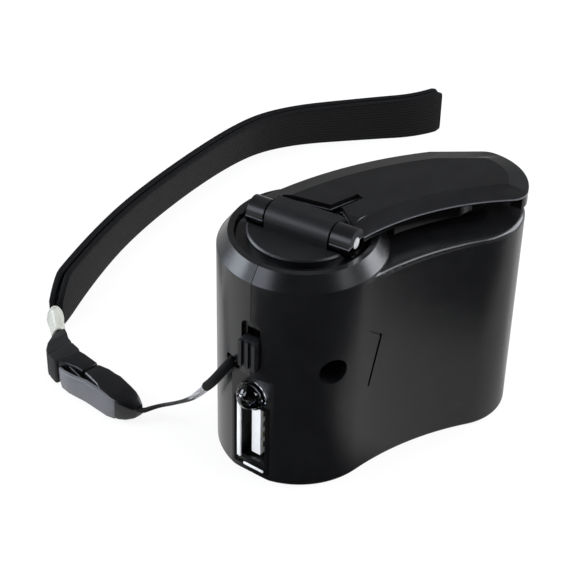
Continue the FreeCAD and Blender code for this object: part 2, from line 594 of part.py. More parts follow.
node(fuse("crank_shaft",
          rod("shaft_bar", "shaft_radius", "flange_top - plate_bottom", z="plate_bottom"),
          rod("shaft_shoulder", "shaft_radius + 1", "gear_floor + 2 * gear_step - plate_bottom"
              " - plate_thickness - bush_bore_gap",
              z="plate_bottom + plate_thickness + bush_bore_gap")))
node(spin("top_bush", "top_bush_profile", [
    ("shaft_radius + bush_bore_gap", "shelf_height - wall - bush_bore_gap"),
    ("bush_radius", "shelf_height - wall - bush_bore_gap"), ("bush_radius", "well_floor"),
    ("washer_radius", "well_floor"), ("washer_radius", "disk_bottom - bush_bore_gap"),
    ("shaft_radius + bush_bore_gap", "disk_bottom - bush_bore_gap"),
]))
node(spin("lower_bush", "lower_bush_profile", [
    ("shaft_radius + bush_bore_gap", "plate_bottom"), ("bush_radius", "plate_bottom"),
    ("bush_radius", "plate_bottom + plate_thickness"),
    ("shaft_radius + bush_bore_gap", "plate_bottom + plate_thickness"),
]))

# ---- crank arm: bevelled panel with a skirt, a notch for the bar and two knuckles -------------

def arm_outline(name):
    """Outline of the crank arm in plan, seven edges counter-clockwise from the front root."""
    sketch = new_sketch(name)
    tip = Vector(size("spine_chord"), 0, 0)
    tip_radius = size("arm_tip_radius")
    root_front = Vector(size("arm_root_front_x"), size("arm_root_front_y"), 0)
    root_back = Vector(size("arm_root_back_x"), size("arm_root_back_y"), 0)
    heel = Vector(size("arm_heel_x"), size("arm_heel_y"), 0)
    slope = math.radians(size("arm_heel_angle"))
    down = Vector(math.cos(slope), math.sin(slope), 0)
    front = size("arm_front_radius")
    waist = size("arm_waist_x") - root_front.x
    front_centre = root_front + Vector(waist, -math.sqrt(front ** 2 - waist ** 2), 0)
    front_round, back_round = size("arm_front_corner"), size("arm_back_corner")
    # centre of the front corner: inside the tip's circle and outside the front one
    reach, away = tip_radius - front_round, front + front_round
    gap = tip - front_centre
    along = (away ** 2 - reach ** 2 + gap.Length ** 2) / (2 * gap.Length)
    unit = Vector(gap).normalize()
    side = Vector(unit.y, -unit.x, 0)
    corner_front = front_centre + unit * along + side * math.sqrt(away ** 2 - along ** 2)
    # centre of the back corner: inside the tip's circle and one radius below the heel's slope
    inward = Vector(down.y, -down.x, 0)
    drop = (heel + inward * back_round - tip).dot(inward)
    run = math.sqrt((tip_radius - back_round) ** 2 - drop ** 2)
    corner_back = tip + inward * drop + down * run
    touch_line = corner_back - inward * back_round
    touch_front = front_centre + (corner_front - front_centre).normalize() * front
    tip_front = tip + (corner_front - tip).normalize() * tip_radius
    tip_back = tip + (corner_back - tip).normalize() * tip_radius
    middle_front = corner_front + ((touch_front + tip_front) / 2 - corner_front).normalize() \
        * front_round
    middle_back = corner_back + ((touch_line + tip_back) / 2 - corner_back).normalize() \
        * back_round
    span = heel - root_back
    sagitta = size("arm_back_radius") - math.sqrt(size("arm_back_radius") ** 2
                                                  - (span.Length / 2) ** 2)
    middle_arm = (heel + root_back) / 2 + Vector(-span.y, span.x, 0).normalize() * sagitta
    sketch.addGeometry([
        Part.Arc(root_front, front_centre + Vector(0, front, 0), touch_front),
        Part.Arc(touch_front, middle_front, tip_front),
        Part.Arc(tip_front, tip + Vector(tip_radius, 0, 0), tip_back),
        Part.Arc(tip_back, middle_back, touch_line),
        Part.LineSegment(touch_line, heel),
        Part.Arc(heel, middle_arm, root_back),
        Part.LineSegment(root_back, root_front),
    ])
    # the hollow front arc is stored the other way round, so its two ends change places
    sketch.addConstraint(Sketcher.Constraint("Tangent", 0, 1, 1, 1))
    sketch.addConstraint(Sketcher.Constraint("Tangent", 1, 2, 2, 1))
    sketch.addConstraint(Sketcher.Constraint("Tangent", 2, 2, 3, 1))
    sketch.addConstraint(Sketcher.Constraint("Tangent", 3, 2, 4, 1))
    sketch.addConstraint(Sketcher.Constraint("Coincident", 4, 2, 5, 1))
    sketch.addConstraint(Sketcher.Constraint("Coincident", 5, 2, 6, 1))
    sketch.addConstraint(Sketcher.Constraint("Coincident", 6, 2, 0, 2))
    pin_point(sketch, 0, 2, "arm_root_front_x", "arm_root_front_y")
    pin_point(sketch, 5, 2, "arm_root_back_x", "arm_root_back_y")
    pin_point(sketch, 4, 2, "arm_heel_x", "arm_heel_y")
    pin_point(sketch, 2, 3, "spine_chord", "0")
    hold(sketch, "DistanceX", -1, 1, 0, 3, formula="arm_waist_x")
    hold(sketch, "Radius", 0, formula="arm_front_radius")
    hold(sketch, "Radius", 1, formula="arm_front_corner")
    hold(sketch, "Radius", 2, formula="arm_tip_radius")
    hold(sketch, "Radius", 3, formula="arm_back_corner")
    hold(sketch, "Radius", 5, formula="arm_back_radius")
    hold(sketch, "Angle", 4, formula="180 + arm_heel_angle")
    return sketch


arm_plan = arm_outline("arm_plan")
arm_panel = extrude("arm_panel", arm_plan, "arm_edge_height - arm_under")
place(arm_panel, z="arm_under")
arm_top = extrude("arm_top", arm_plan, "arm_crown")
bind(arm_top, TaperAngle="arm_crown_angle")
place(arm_top, z="arm_edge_height")
skirt_block = extrude("skirt_block", arm_plan, "arm_under - skirt_bottom")
place(skirt_block, z="skirt_bottom")
skirt_inside = doc.addObject("Part::Offset2D", "skirt_inside")
skirt_inside.Source = arm_plan
skirt_inside.Join = 0
bind(skirt_inside, Value="-skirt_wall")
skirt_core = extrude("skirt_core", skirt_inside, "arm_under - skirt_bottom + 0")
place(skirt_core, z="skirt_bottom")
skirt_turret = rod("skirt_turret", "big_radius + turret_clearance", "arm_under - skirt_bottom",
                   z="skirt_bottom")
skirt = cut("arm_skirt", skirt_block, fuse("skirt_hollow", skirt_core, skirt_turret))

notch_plan = polygon("notch_outline", [
    ("barrel_start - 2 * hinge_gap", "-knuckle_radius - 1"),
    ("notch_shoulder_x", "-knuckle_radius - 1"),
    ("notch_shoulder_x", "notch_shoulder_y"), ("notch_corner_x", "notch_right"),
    ("barrel_start - 2 * hinge_gap", "notch_left"),
])
notch = extrude("arm_notch", notch_plan, "arm_crown + 3 * knuckle_radius")
place(notch, y="hinge_offset", z="hinge_height - knuckle_radius")
arm_notch = turn(group("arm_notch_turned", notch), "hinge_angle")
arm_slot = turn(block("arm_slot", "arm_slot_length", "arm_slot_width", "3 * knuckle_radius",
                      "arm_slot_x", "arm_slot_y", "hinge_height - knuckle_radius"),
                "arm_slot_angle")
knuckles = turn(fuse(
    "arm_knuckles",
    hinge_rod("knuckle_back", "knuckle_radius", "knuckle_left",
              "(barrel_start - hinge_gap)"),
    hinge_rod("knuckle_front", "knuckle_radius", "barrel_end + hinge_gap",
              "(knuckle_right)"),
), "hinge_angle")
knuckle_bore = turn(group("knuckle_bores", hinge_rod(
    "knuckle_bore", "pin_radius + fit_gap", "knuckle_left - 1", "(knuckle_right + 1)")),
    "hinge_angle")
scoop = rod("finger_scoop", "scoop_radius", "scoop_top - skirt_bottom", "spine_chord", "scoop_y",
            "skirt_bottom")
grip_socket = rod("grip_socket", "grip_screw_radius", "arm_edge_height - arm_under",
                  "grip_x", "grip_y", "arm_under")
arm_sheet = cut("arm_sheet", fuse("arm_blank", arm_panel, arm_top, skirt),
                fuse("arm_cuts", arm_notch, arm_slot, scoop, grip_socket))
node(cut("crank_arm", fuse("arm_with_knuckles", arm_sheet, knuckles), knuckle_bore))

# ---- grip: a low knob that turns on a shouldered screw under the arm's tip ---------------------

grip_ceiling = "(grip_bottom + grip_screw_head_thickness + 0.4)"
node(spin("crank_knob", "grip_profile", [
    ("grip_screw_radius + fit_gap", grip_ceiling),
    ("grip_screw_head + 0.2", grip_ceiling), ("grip_screw_head + 0.2", "grip_bottom + 0.2"),
    ("grip_screw_head + 0.6", "grip_bottom"), ("grip_radius - 0.5", "grip_bottom"),
    ("grip_radius", "grip_bottom + 0.5"), ("grip_radius", "grip_top - 0.9"),
    ("grip_radius - 0.6", "grip_top - 0.3"), ("grip_radius - 0.6", "grip_top"),
    ("grip_screw_radius + fit_gap", "grip_top"),
], "grip_x", "grip_y"))
node(fuse("knob_pin",
          rod("knob_pin_shank", "grip_screw_radius",
              f"arm_edge_height - {grip_ceiling} + 0.2", "grip_x", "grip_y",
              grip_ceiling + " - 0.2"),
          rod("knob_pin_head", "grip_screw_head", "grip_screw_head_thickness", "grip_x",
              "grip_y", grip_ceiling + " - 0.2 - grip_screw_head_thickness")))

# ---- gear train: a drive gear, two stepped gears and the motor's pinion -----------------------

def gear_face(teeth, phase, centre):
    """Flat involute gear, addendum shortened on wheels so small pinions need no undercut."""
    module, relief = size("gear_module"), size("backlash") / 2
    pitch = module * teeth / 2
    base = pitch * math.cos(math.radians(20))
    tip = pitch + module * (0.62 if teeth > 20 else 0.85)
    root = pitch - module * 1.1
    half_tooth = math.pi / (2 * teeth) - relief / (2 * pitch)

    def flank_angle(radius):
        """Half the angle a tooth fills at a radius."""
        if radius <= base:
            return half_tooth + involute(pitch)
        return half_tooth + involute(pitch) - involute(radius)

    def involute(radius):
        slope = math.acos(min(1.0, base / radius))
        return math.tan(slope) - slope

    steps = [root, max(base, root + 0.02), (max(base, root) + tip) / 2, tip]
    corners = []
    for tooth in range(teeth):
        middle = phase + 2 * math.pi * tooth / teeth
        for radius in steps:
            corners.append((radius, middle - flank_angle(radius)))
        for radius in reversed(steps):
            corners.append((radius, middle + flank_angle(radius)))
    points = [centre + Vector(r * math.cos(a), r * math.sin(a), 0) for r, a in corners]
    return Part.Face(Part.makePolygon(points + points[:1]))


def mesh_phase(driver_teeth, driver_phase, teeth, direction):
    """Phase of a gear whose teeth fall in the gaps of its driver, at rest."""
    fraction = (direction - driver_phase) * driver_teeth / (2 * math.pi)
    return direction + math.pi - (0.5 - fraction) * 2 * math.pi / teeth


def stored(name, shape):
    feature = doc.addObject("Part::Feature", name)
    feature.Shape = shape
    return feature


def gear_distance(one, two):
    return size("gear_module") * (size(one) + size(two)) / 2


def round_bar(radius, bottom, top, centre):
    return Part.makeCylinder(radius, top - bottom, centre + Vector(0, 0, bottom))


thick, step_up = size("gear_thickness"), size("gear_step")
plane_low = size("gear_floor")
plane_middle, plane_high = plane_low + step_up, plane_low + 2 * step_up
plates_inside = size("plate_bottom") + size("plate_thickness") + 0.1
plates_top = size("upper_plate_bottom") - 0.1
axle = size("axle_radius")

crank_centre = Vector()
motor_centre = Vector(size("spine_chord"), 0, 0)
first_direction = math.radians(size("first_gear_angle"))
reach_first = gear_distance("drive_teeth", "first_pinion_teeth")
first_centre = Vector(math.cos(first_direction), math.sin(first_direction), 0) * reach_first
reach_second = gear_distance("first_teeth", "second_pinion_teeth")
reach_motor = gear_distance("second_teeth", "motor_pinion_teeth")
across = motor_centre - first_centre
along = (reach_second ** 2 - reach_motor ** 2 + across.Length ** 2) / (2 * across.Length)
unit = Vector(across).normalize()
second_centre = (first_centre + unit * along
                 + Vector(-unit.y, unit.x, 0) * math.sqrt(reach_second ** 2 - along ** 2))
second_direction = math.atan2(second_centre.y - first_centre.y, second_centre.x - first_centre.x)
motor_direction = math.atan2(motor_centre.y - second_centre.y, motor_centre.x - second_centre.x)

count = {alias: int(size(alias)) for alias in ALIASES if alias.endswith("_teeth")}
first_phase = mesh_phase(count["drive_teeth"], 0.0, count["first_pinion_teeth"], first_direction)
second_phase = mesh_phase(count["first_teeth"], 0.0, count["second_pinion_teeth"],
                          second_direction)
motor_phase = mesh_phase(count["second_teeth"], 0.0, count["motor_pinion_teeth"],
                         motor_direction)


def wheel(teeth, phase, centre, bottom, height):
    face = gear_face(teeth, phase, centre)
    return face.extrude(Vector(0, 0, height)).translate(Vector(0, 0, bottom))


drive = wheel(count["drive_teeth"], 0.0, crank_centre, plane_high, thick)
drive_top = size("shelf_height - wall - plate_gap / 3")
drive = drive.fuse(round_bar(3.6, plane_high + thick, drive_top, crank_centre))
lightening = size("gear_module") * size("drive_teeth") / 4 + 1.8
for spoke in range(5):
    turned_by = 2 * math.pi * spoke / 5
    spot = Vector(math.cos(turned_by), math.sin(turned_by), 0) * lightening
    drive = drive.cut(round_bar(1.8, plane_high - 1, plane_high + thick + 1, spot))
drive = drive.cut(round_bar(size("shaft_radius"), plane_high - 1, drive_top + 1, crank_centre))
node(stored("drive_gear", drive.removeSplitter()))

first = wheel(count["first_teeth"], 0.0, first_centre, plane_middle, thick)
first = first.fuse([
    wheel(count["first_pinion_teeth"], first_phase, first_centre, plane_middle + thick,
          step_up),
    round_bar(1.7, plates_inside, plane_middle, first_centre),
    round_bar(1.7, plane_high + thick, plates_top, first_centre),
])
first = first.cut(round_bar(axle + size("fit_gap"), 0, size("shelf_height"), first_centre))
node(stored("first_step_gear", first.removeSplitter()))

second = wheel(count["second_teeth"], 0.0, second_centre, plane_low, thick)
second = second.fuse([
    wheel(count["second_pinion_teeth"], second_phase, second_centre, plane_low + thick,
          step_up),
    round_bar(1.7, plates_inside, plane_low, second_centre),
    round_bar(1.7, plane_middle + thick, plates_top, second_centre),
])
second = second.cut(round_bar(axle + size("fit_gap"), 0, size("shelf_height"), second_centre))
node(stored("second_step_gear", second.removeSplitter()))

pinion = wheel(count["motor_pinion_teeth"], motor_phase, motor_centre, plane_low, thick + 0.4)
pinion = pinion.cut(round_bar(size("motor_shaft_radius"), 0, size("shelf_height"), motor_centre))
node(stored("motor_pinion", pinion))

axle_bottom = size("plate_bottom")
axle_top = size("upper_plate_bottom") + size("plate_thickness")
node(stored("gear_axles", Part.makeCompound([
    round_bar(axle, axle_bottom, axle_top, first_centre),
    round_bar(axle, axle_bottom, axle_top, second_centre)])))

# plates that carry the axles: the lower one has three posts, the upper one is screwed to them
axle_holes = stored("axle_holes", Part.makeCompound([
    round_bar(axle, 0, size("shelf_height"), first_centre),
    round_bar(axle, 0, size("shelf_height"), second_centre)]))
post_places = [("post_front_x", "post_front_y"), ("post_back_x", "post_back_y"),
               ("post_end_x", "post_end_y")]
post_bottom = "(plate_bottom + plate_thickness)"
screw_bottom = "(upper_plate_bottom + plate_thickness - plate_screw_length)"
posts = [rod(f"post_{k}", "post_radius", f"upper_plate_bottom - {post_bottom}", x, y,
             post_bottom) for k, (x, y) in enumerate(post_places)]
pilots = [rod(f"post_pilot_{k}", "plate_screw_radius", "plate_screw_length", x, y,
              screw_bottom) for k, (x, y) in enumerate(post_places)]
upper_holes = [rod(f"upper_hole_{k}", "plate_screw_radius + fit_gap", "4 * plate_thickness",
                   x, y, "upper_plate_bottom - plate_thickness")
               for k, (x, y) in enumerate(post_places)]
plate_trim = block("plate_trim", "2 * big_radius", "4 * big_radius", "shelf_height",
                   "plate_left - 2 * big_radius", "-2 * big_radius", "0")
motor_screws = [("spine_chord + motor_screw_x", "motor_screw_y"),
                ("spine_chord - motor_screw_x", "-motor_screw_y")]
lower_blank = extrude("lower_plate_blank", bean("lower_plate_outline", ("wall", "plate_gap")),
                      "plate_thickness")
place(lower_blank, z="plate_bottom")
boss_hole = rod("motor_boss_hole", "motor_boss_radius + fit_gap", "4 * plate_thickness",
                "spine_chord", "0", "plate_bottom - plate_thickness")
lower_screw_holes = [rod(f"motor_screw_hole_{k}", "plate_screw_radius + fit_gap",
                         "4 * plate_thickness", x, y, "plate_bottom - plate_thickness")
                     for k, (x, y) in enumerate(motor_screws)]
node(cut("lower_gear_plate", fuse("lower_plate_posts", lower_blank, *posts),
         fuse("lower_plate_holes", rod("lower_bush_hole", "bush_radius", "plate_thickness",
                                       z="plate_bottom"),
              boss_hole, axle_holes, plate_trim, *pilots, *lower_screw_holes)))
upper_blank = extrude("upper_plate_blank", bean("upper_plate_outline", ("wall", "plate_gap")),
                      "plate_thickness")
place(upper_blank, z="upper_plate_bottom")
node(cut("upper_gear_plate", upper_blank,
         fuse("upper_plate_holes", rod("upper_bush_hole", "bush_radius + 1.2",
                                       "plate_thickness", z="upper_plate_bottom"),
              axle_holes, plate_trim, *upper_holes)))


def plate_screw(name, x, y, seat):
    return fuse(name,
                rod(name + "_shank", "plate_screw_radius", "plate_screw_length", x, y,
                    seat + " - plate_screw_length"),
                rod(name + "_head", "plate_screw_head", "plate_screw_head_thickness", x, y,
                    seat))


node(group("plate_screws", *[
    plate_screw(f"plate_screw_{k}", x, y, "upper_plate_bottom + plate_thickness")
    for k, (x, y) in enumerate(post_places)]))

# ---- motor, used as the generator -----------------------------------------------------------

can_top = "plate_bottom"
node(group("motor_screws", *[
    fuse(f"motor_screw_{k}",
         rod(f"motor_screw_shank_{k}", "plate_screw_radius", "plate_thickness + can_wall", x, y,
             "plate_bottom - can_wall"),
         rod(f"motor_screw_head_{k}", "plate_screw_head", "plate_screw_head_thickness - 0.2",
             x, y, "plate_bottom + plate_thickness"))
    for k, (x, y) in enumerate(motor_screws)]))
can_turned = spin("can_turned", "can_profile", [
    ("motor_shaft_radius + fit_gap", "plate_bottom - can_wall"),
    ("motor_radius - can_wall", "plate_bottom - can_wall"),
    ("motor_radius - can_wall", "motor_bottom"), ("motor_radius", "motor_bottom"),
    ("motor_radius", "plate_bottom"), ("motor_boss_radius", "plate_bottom"),
    ("motor_boss_radius", "plate_bottom + plate_thickness"),
    ("motor_shaft_radius + fit_gap", "plate_bottom + plate_thickness"),
], "spine_chord")
can_flats = fuse("can_flats",
                 block("can_flat_front", "4 * motor_radius", "motor_radius", "shelf_height",
                       "spine_chord - 2 * motor_radius", "-motor_flats / 2 - motor_radius", "0"),
                 block("can_flat_back", "4 * motor_radius", "motor_radius", "shelf_height",
                       "spine_chord - 2 * motor_radius", "motor_flats / 2", "0"))
can_screw_holes = fuse("can_screw_holes", *[
    rod(f"can_screw_hole_{k}", "plate_screw_radius", "can_wall", x, y,
        "plate_bottom - can_wall") for k, (x, y) in enumerate(motor_screws)])
# the flats are pressed in: the can keeps its wall there, so the space inside follows them
flat_walls = shared("flat_walls", rod("flat_wall_rod", "motor_radius",
                                      "plate_bottom - motor_bottom", "spine_chord", "0",
                                      "motor_bottom"),
                    fuse("flat_wall_bars",
                         block("flat_wall_front", "4 * motor_radius", "can_wall",
                               "shelf_height", "spine_chord - 2 * motor_radius",
                               "-motor_flats / 2", "0"),
                         block("flat_wall_back", "4 * motor_radius", "can_wall",
                               "shelf_height", "spine_chord - 2 * motor_radius",
                               "motor_flats / 2 - can_wall", "0")))
node(cut("motor_can", fuse("can_walls", cut("can_flattened", can_turned, can_flats), flat_walls),
         can_screw_holes))
magnet_ring = cut("magnet_ring",
                  rod("magnet_outside", "motor_radius - can_wall - fit_gap", "magnet_length",
                      "spine_chord", "0", "motor_bottom + magnet_start"),
                  fuse("magnet_space",
                       rod("magnet_inside", "magnet_inner", "magnet_length", "spine_chord",
                           "0", "motor_bottom + magnet_start"),
                       block("magnet_split_front", "4 * motor_radius", "motor_radius",
                             "magnet_length", "spine_chord - 2 * motor_radius",
                             "-motor_flats / 2 + can_wall + fit_gap - motor_radius",
                             "motor_bottom + magnet_start"),
                       block("magnet_split_back", "4 * motor_radius", "motor_radius",
                             "magnet_length", "spine_chord - 2 * motor_radius",
                             "motor_flats / 2 - can_wall - fit_gap",
                             "motor_bottom + magnet_start"),
                       block("magnet_split_middle", "magnet_split", "4 * motor_radius",
                             "magnet_length", "spine_chord - magnet_split / 2",
                             "-2 * motor_radius", "motor_bottom + magnet_start")))
node(magnet_ring).Label = "motor_magnets"
node(fuse("motor_shaft",
          rod("motor_shaft_bar", "motor_shaft_radius", "motor_shaft_top - motor_bottom + 1.0",
              "spine_chord", "0", "motor_bottom - 1.0"),
          rod("motor_armature", "armature_radius", "magnet_length - 1", "spine_chord", "0",
              "motor_bottom + magnet_start + 0.5"),
          rod("motor_commutator", "commutator_radius", "commutator_length", "spine_chord", "0",
              "motor_bottom + 0.6")))
cap_disk = rod("cap_disk", "motor_radius - motor_cap_inset", "motor_cap", "spine_chord", "0",
               "motor_bottom - motor_cap")
node(cut("motor_end_cap", shared("cap_flat", cap_disk, block(
    "cap_limits", "4 * motor_radius", "motor_flats - 2 * motor_cap_inset", "shelf_height",
    "spine_chord - 2 * motor_radius", "-motor_flats / 2 + motor_cap_inset", "0")),
    rod("cap_bearing", "motor_shaft_radius + fit_gap", "motor_cap", "spine_chord", "0",
        "motor_bottom - 1.2")))
node(group("motor_terminals", *[
    block(f"motor_terminal_{side}", "terminal_thickness", "terminal_width", "terminal_height",
          f"spine_chord {sign} terminal_spread / 2 - terminal_thickness / 2",
          "-terminal_width / 2", "motor_bottom - motor_cap - terminal_height")
    for side, sign in (("left", "-"), ("right", "+"))]))

# ---- socket, lamp, switch and circuit board, in the port frame -------------------------------

socket_back = "(big_radius - facet_depth - usb_inset - usb_depth)"
socket_low = "(usb_z - usb_height / 2)"
usb_outer = block("usb_outer", "usb_depth", "usb_width", "usb_height", socket_back,
                  "-usb_width / 2", socket_low)
usb_inner = block("usb_inner", "usb_depth", "usb_width - 2 * usb_metal",
                  "usb_height - 2 * usb_metal", socket_back + " + usb_metal",
                  "-usb_width / 2 + usb_metal", socket_low + " + usb_metal")
node(turn(cut("usb_shell", usb_outer, usb_inner), "port_angle"))
usb_insulator = fuse(
    "usb_insulator",
    block("insulator_back", "2.2", "usb_width - 2 * usb_metal", "usb_height - 2 * usb_metal",
          socket_back + " + usb_metal", "-usb_width / 2 + usb_metal",
          socket_low + " + usb_metal"),
    block("insulator_tongue", "usb_depth - usb_metal - tongue_inset", "tongue_width",
          "tongue_height", socket_back + " + usb_metal", "tongue_shift - tongue_width / 2",
          "usb_z - tongue_height / 2"),
)
node(turn(usb_insulator, "port_angle")).Label = "usb_tongue"
node(turn(group("usb_contacts", *[
    block(f"usb_contact_{k}", "8.6", "contact_thickness", "contact_width",
          "big_radius - facet_depth - usb_inset - tongue_inset - 9.4",
          "tongue_shift + tongue_width / 2",
          f"usb_z + {k - 1.5} * contact_pitch - contact_width / 2")
    for k in range(4)]), "port_angle"))

lamp_back = "(facet_face + led_flange_thickness + led_radius - led_length)"
lamp_centre = "(facet_face + led_rise)"
lamp_ring = "(facet_face + led_flange_thickness)"
lamp = doc.addObject("PartDesign::Body", "lamp_body")
lamp_profile = new_sketch("lamp_profile", lamp, "XZ_Plane")
dome_z, back_z, ring_z = size(lamp_centre), size(lamp_back), size(lamp_ring)
dome_radius, ring_radius = size("led_radius"), size("led_flange_radius")
dome_start = Vector(math.sqrt(dome_radius ** 2 - (ring_z - dome_z) ** 2), ring_z, 0)
lamp_corners = [dome_start, Vector(0, dome_z + dome_radius, 0), Vector(0, back_z, 0),
                Vector(dome_radius, back_z, 0), Vector(dome_radius, size("facet_face"), 0),
                Vector(ring_radius, size("facet_face"), 0), Vector(ring_radius, ring_z, 0)]
dome_middle = Vector(0, dome_z, 0) + Vector(1, 1, 0).normalize() * dome_radius
lamp_profile.addGeometry(Part.Arc(dome_start, dome_middle, lamp_corners[1]))
for start in range(1, 7):
    lamp_profile.addGeometry(Part.LineSegment(lamp_corners[start], lamp_corners[(start + 1) % 7]))
for edge in range(7):
    lamp_profile.addConstraint(Sketcher.Constraint("Coincident", edge, 2, (edge + 1) % 7, 1))
lamp_profile.addConstraint(Sketcher.Constraint("PointOnObject", 0, 2, -2))
pin_point(lamp_profile, 0, 3, "0", lamp_centre)
hold(lamp_profile, "Radius", 0, formula="led_radius")
hold(lamp_profile, "DistanceY", -1, 1, 0, 1, formula=lamp_ring)
pin_point(lamp_profile, 2, 1, "0", lamp_back)
pin_point(lamp_profile, 3, 1, "led_radius", lamp_back)
pin_point(lamp_profile, 4, 1, "led_radius", "facet_face")
pin_point(lamp_profile, 5, 1, "led_flange_radius", "facet_face")
pin_point(lamp_profile, 6, 1, "led_flange_radius", lamp_ring)
lamp_turned = lamp.newObject("PartDesign::Revolution", "lamp_turned")
lamp_turned.Profile = lamp_profile
lamp_turned.ReferenceAxis = (lamp_profile, ["V_Axis"])
lamp_turned.Angle = 360.0
lamp.Tip = lamp_turned
lamp.Placement = Placement(Vector(), Rotation(Z_AXIS, X_AXIS))
place(lamp, z="led_z")
node(turn(group("led_lens", lamp), "port_angle"))
lead_size = "2 * lead_radius"
leads = []
for side, sign in (("low", "-"), ("high", "+")):
    level = f"led_z {sign} lead_pitch / 2 - lead_radius"
    leads.append(fuse(
        f"lead_{side}",
        block(f"lead_run_{side}", "lead_length", lead_size, lead_size,
              f"{lamp_back} - lead_length", "-lead_radius", level),
        block(f"lead_drop_{side}", lead_size, "usb_width / 2 + lead_radius", lead_size,
              f"{lamp_back} - lead_length", "-lead_radius", level)))
node(turn(group("led_leads", *leads), "port_angle"))

board = fuse(
    "board_blank",
    block("board_lower", "board_front - board_back", "board_thickness",
          "board_step_z - board_bottom", "board_back", "usb_width / 2", "board_bottom"),
    block("board_upper", "board_front - board_step_x", "board_thickness",
          "board_top - board_bottom", "board_step_x", "usb_width / 2", "board_bottom"),
)
board_holes = fuse("board_holes", *[
    rod(f"board_hole_{k}", "0.8", "2 * board_thickness", "board_back + 1.6", "usb_width / 2",
        height, Y_AXIS) for k, height in enumerate(("board_bottom + 2", "board_step_z - 2"))])
node(turn(cut("main_board", board, board_holes), "port_angle"))

# the slide switch: its case behind the wall, its cap outside, a stem between them
stem_low = "(slot_z - (stem_height + switch_travel) / 2)"
case_left = "(usb_width / 2 - switch_width)"
node(turn(cut("switch_case",
              block("switch_case_block", "switch_depth", "switch_width", "switch_height",
                    "switch_front - switch_depth", case_left, "slot_z - switch_height / 2"),
              block("switch_case_slot", "switch_depth / 2", "stem_width + 2 * fit_gap",
                    "stem_height + switch_travel + 2 * fit_gap",
                    "switch_front - switch_depth / 2", "-stem_width / 2 - fit_gap",
                    stem_low + " - fit_gap")), "port_angle"))
cap_seat = "(big_radius - slot_depth + fit_gap)"
cap_face = "(big_radius + knob_proud - ridge_height)"
cap_low = "(slot_z - (switch_travel + knob_height) / 2)"
ridges = [block(f"switch_ridge_{k}", "ridge_height", "ridge_width", "knob_height - 0.6",
                cap_face,
                f"{k - 1} * (knob_width - ridge_width) / (ridge_count - 1) - ridge_width / 2",
                cap_low + " + 0.3") for k in range(3)]
node(turn(fuse("switch_knob",
               rounded_block("switch_cap", cap_seat, f"{cap_face} - {cap_seat}", "knob_width",
                             "knob_height", f"({cap_low} + knob_height / 2)", "knob_corner"),
               block("switch_stem", f"{cap_seat} - switch_front + switch_depth / 4",
                     "stem_width", "stem_height", "switch_front - switch_depth / 4",
                     "-stem_width / 2", stem_low), *ridges), "port_angle"))

# parts soldered on the far side of the board
board_back_face = "(usb_width / 2 + board_thickness)"
node(turn(fuse("capacitor",
               rod("capacitor_can", "capacitor_radius", "capacitor_height - 0.8",
                   "capacitor_x", board_back_face + " + 0.8", "capacitor_z", Y_AXIS),
               rod("capacitor_base", "capacitor_radius - 0.2", "0.8", "capacitor_x",
                   board_back_face, "capacitor_z", Y_AXIS)), "port_angle"))
node(turn(fuse("inductor",
               rod("inductor_core", "inductor_radius - 0.9", "inductor_height", "inductor_x",
                   board_back_face, "inductor_z", Y_AXIS),
               rod("inductor_foot", "inductor_radius", "0.8", "inductor_x", board_back_face,
                   "inductor_z", Y_AXIS),
               rod("inductor_cap", "inductor_radius", "0.8", "inductor_x",
                   board_back_face + " + inductor_height - 0.8", "inductor_z", Y_AXIS)),
          "port_angle"))
node(turn(fuse("regulator_chip",
               block("chip_case", "chip_width", "chip_height - 0.1", "chip_length",
                     "chip_x - chip_width / 2", board_back_face + " + 0.1",
                     "chip_z - chip_length / 2"),
               *[block(f"chip_legs_{k}", "chip_width + 1.6", "0.25", "0.42",
                       "chip_x - chip_width / 2 - 0.8", board_back_face,
                       f"chip_z + {k - 1.5} * 1.27 - 0.21") for k in range(4)]), "port_angle"))
node(turn(group("rectifier_diodes", *[
    rod(f"diode_{k}", "diode_radius", "diode_length", "diode_x - diode_length / 2",
        board_back_face + " + diode_radius", f"diode_z + {k} * diode_pitch / 2", X_AXIS)
    for k in (0, 2)]), "port_angle"))

# ---- wires and lanyard: plain tubes and a strap, straight runs joined by tangent arcs ---------

def rounded_path(points, name):
    """Edges of a route whose corners are rounded by arcs, and their whole length."""
    edges, radii, start = [], [], points[0]
    for before, corner, after in zip(points[:-2], points[1:-1], points[2:]):
        into, out = corner - before, after - corner
        turning = into.getAngle(out)
        short = min(into.Length, out.Length)
        radius = 0.45 * short / math.tan(turning / 2)
        first_touch = corner - Vector(into).normalize() * 0.45 * short
        last_touch = corner + Vector(out).normalize() * 0.45 * short
        to_centre = Vector(out).normalize() - Vector(into).normalize()
        centre = corner + to_centre.normalize() * (radius / math.cos(turning / 2))
        middle = centre + (corner - centre).normalize() * radius
        edges.append(Part.makeLine(start, first_touch))
        edges.append(Part.Arc(first_touch, middle, last_touch).toShape())
        radii.append(round(radius, 2))
        start = last_touch
    edges.append(Part.makeLine(start, points[-1]))
    length = sum(edge.Length for edge in edges)
    print(name, "route", round(length, 1), "mm, radii", radii)
    return edges, length


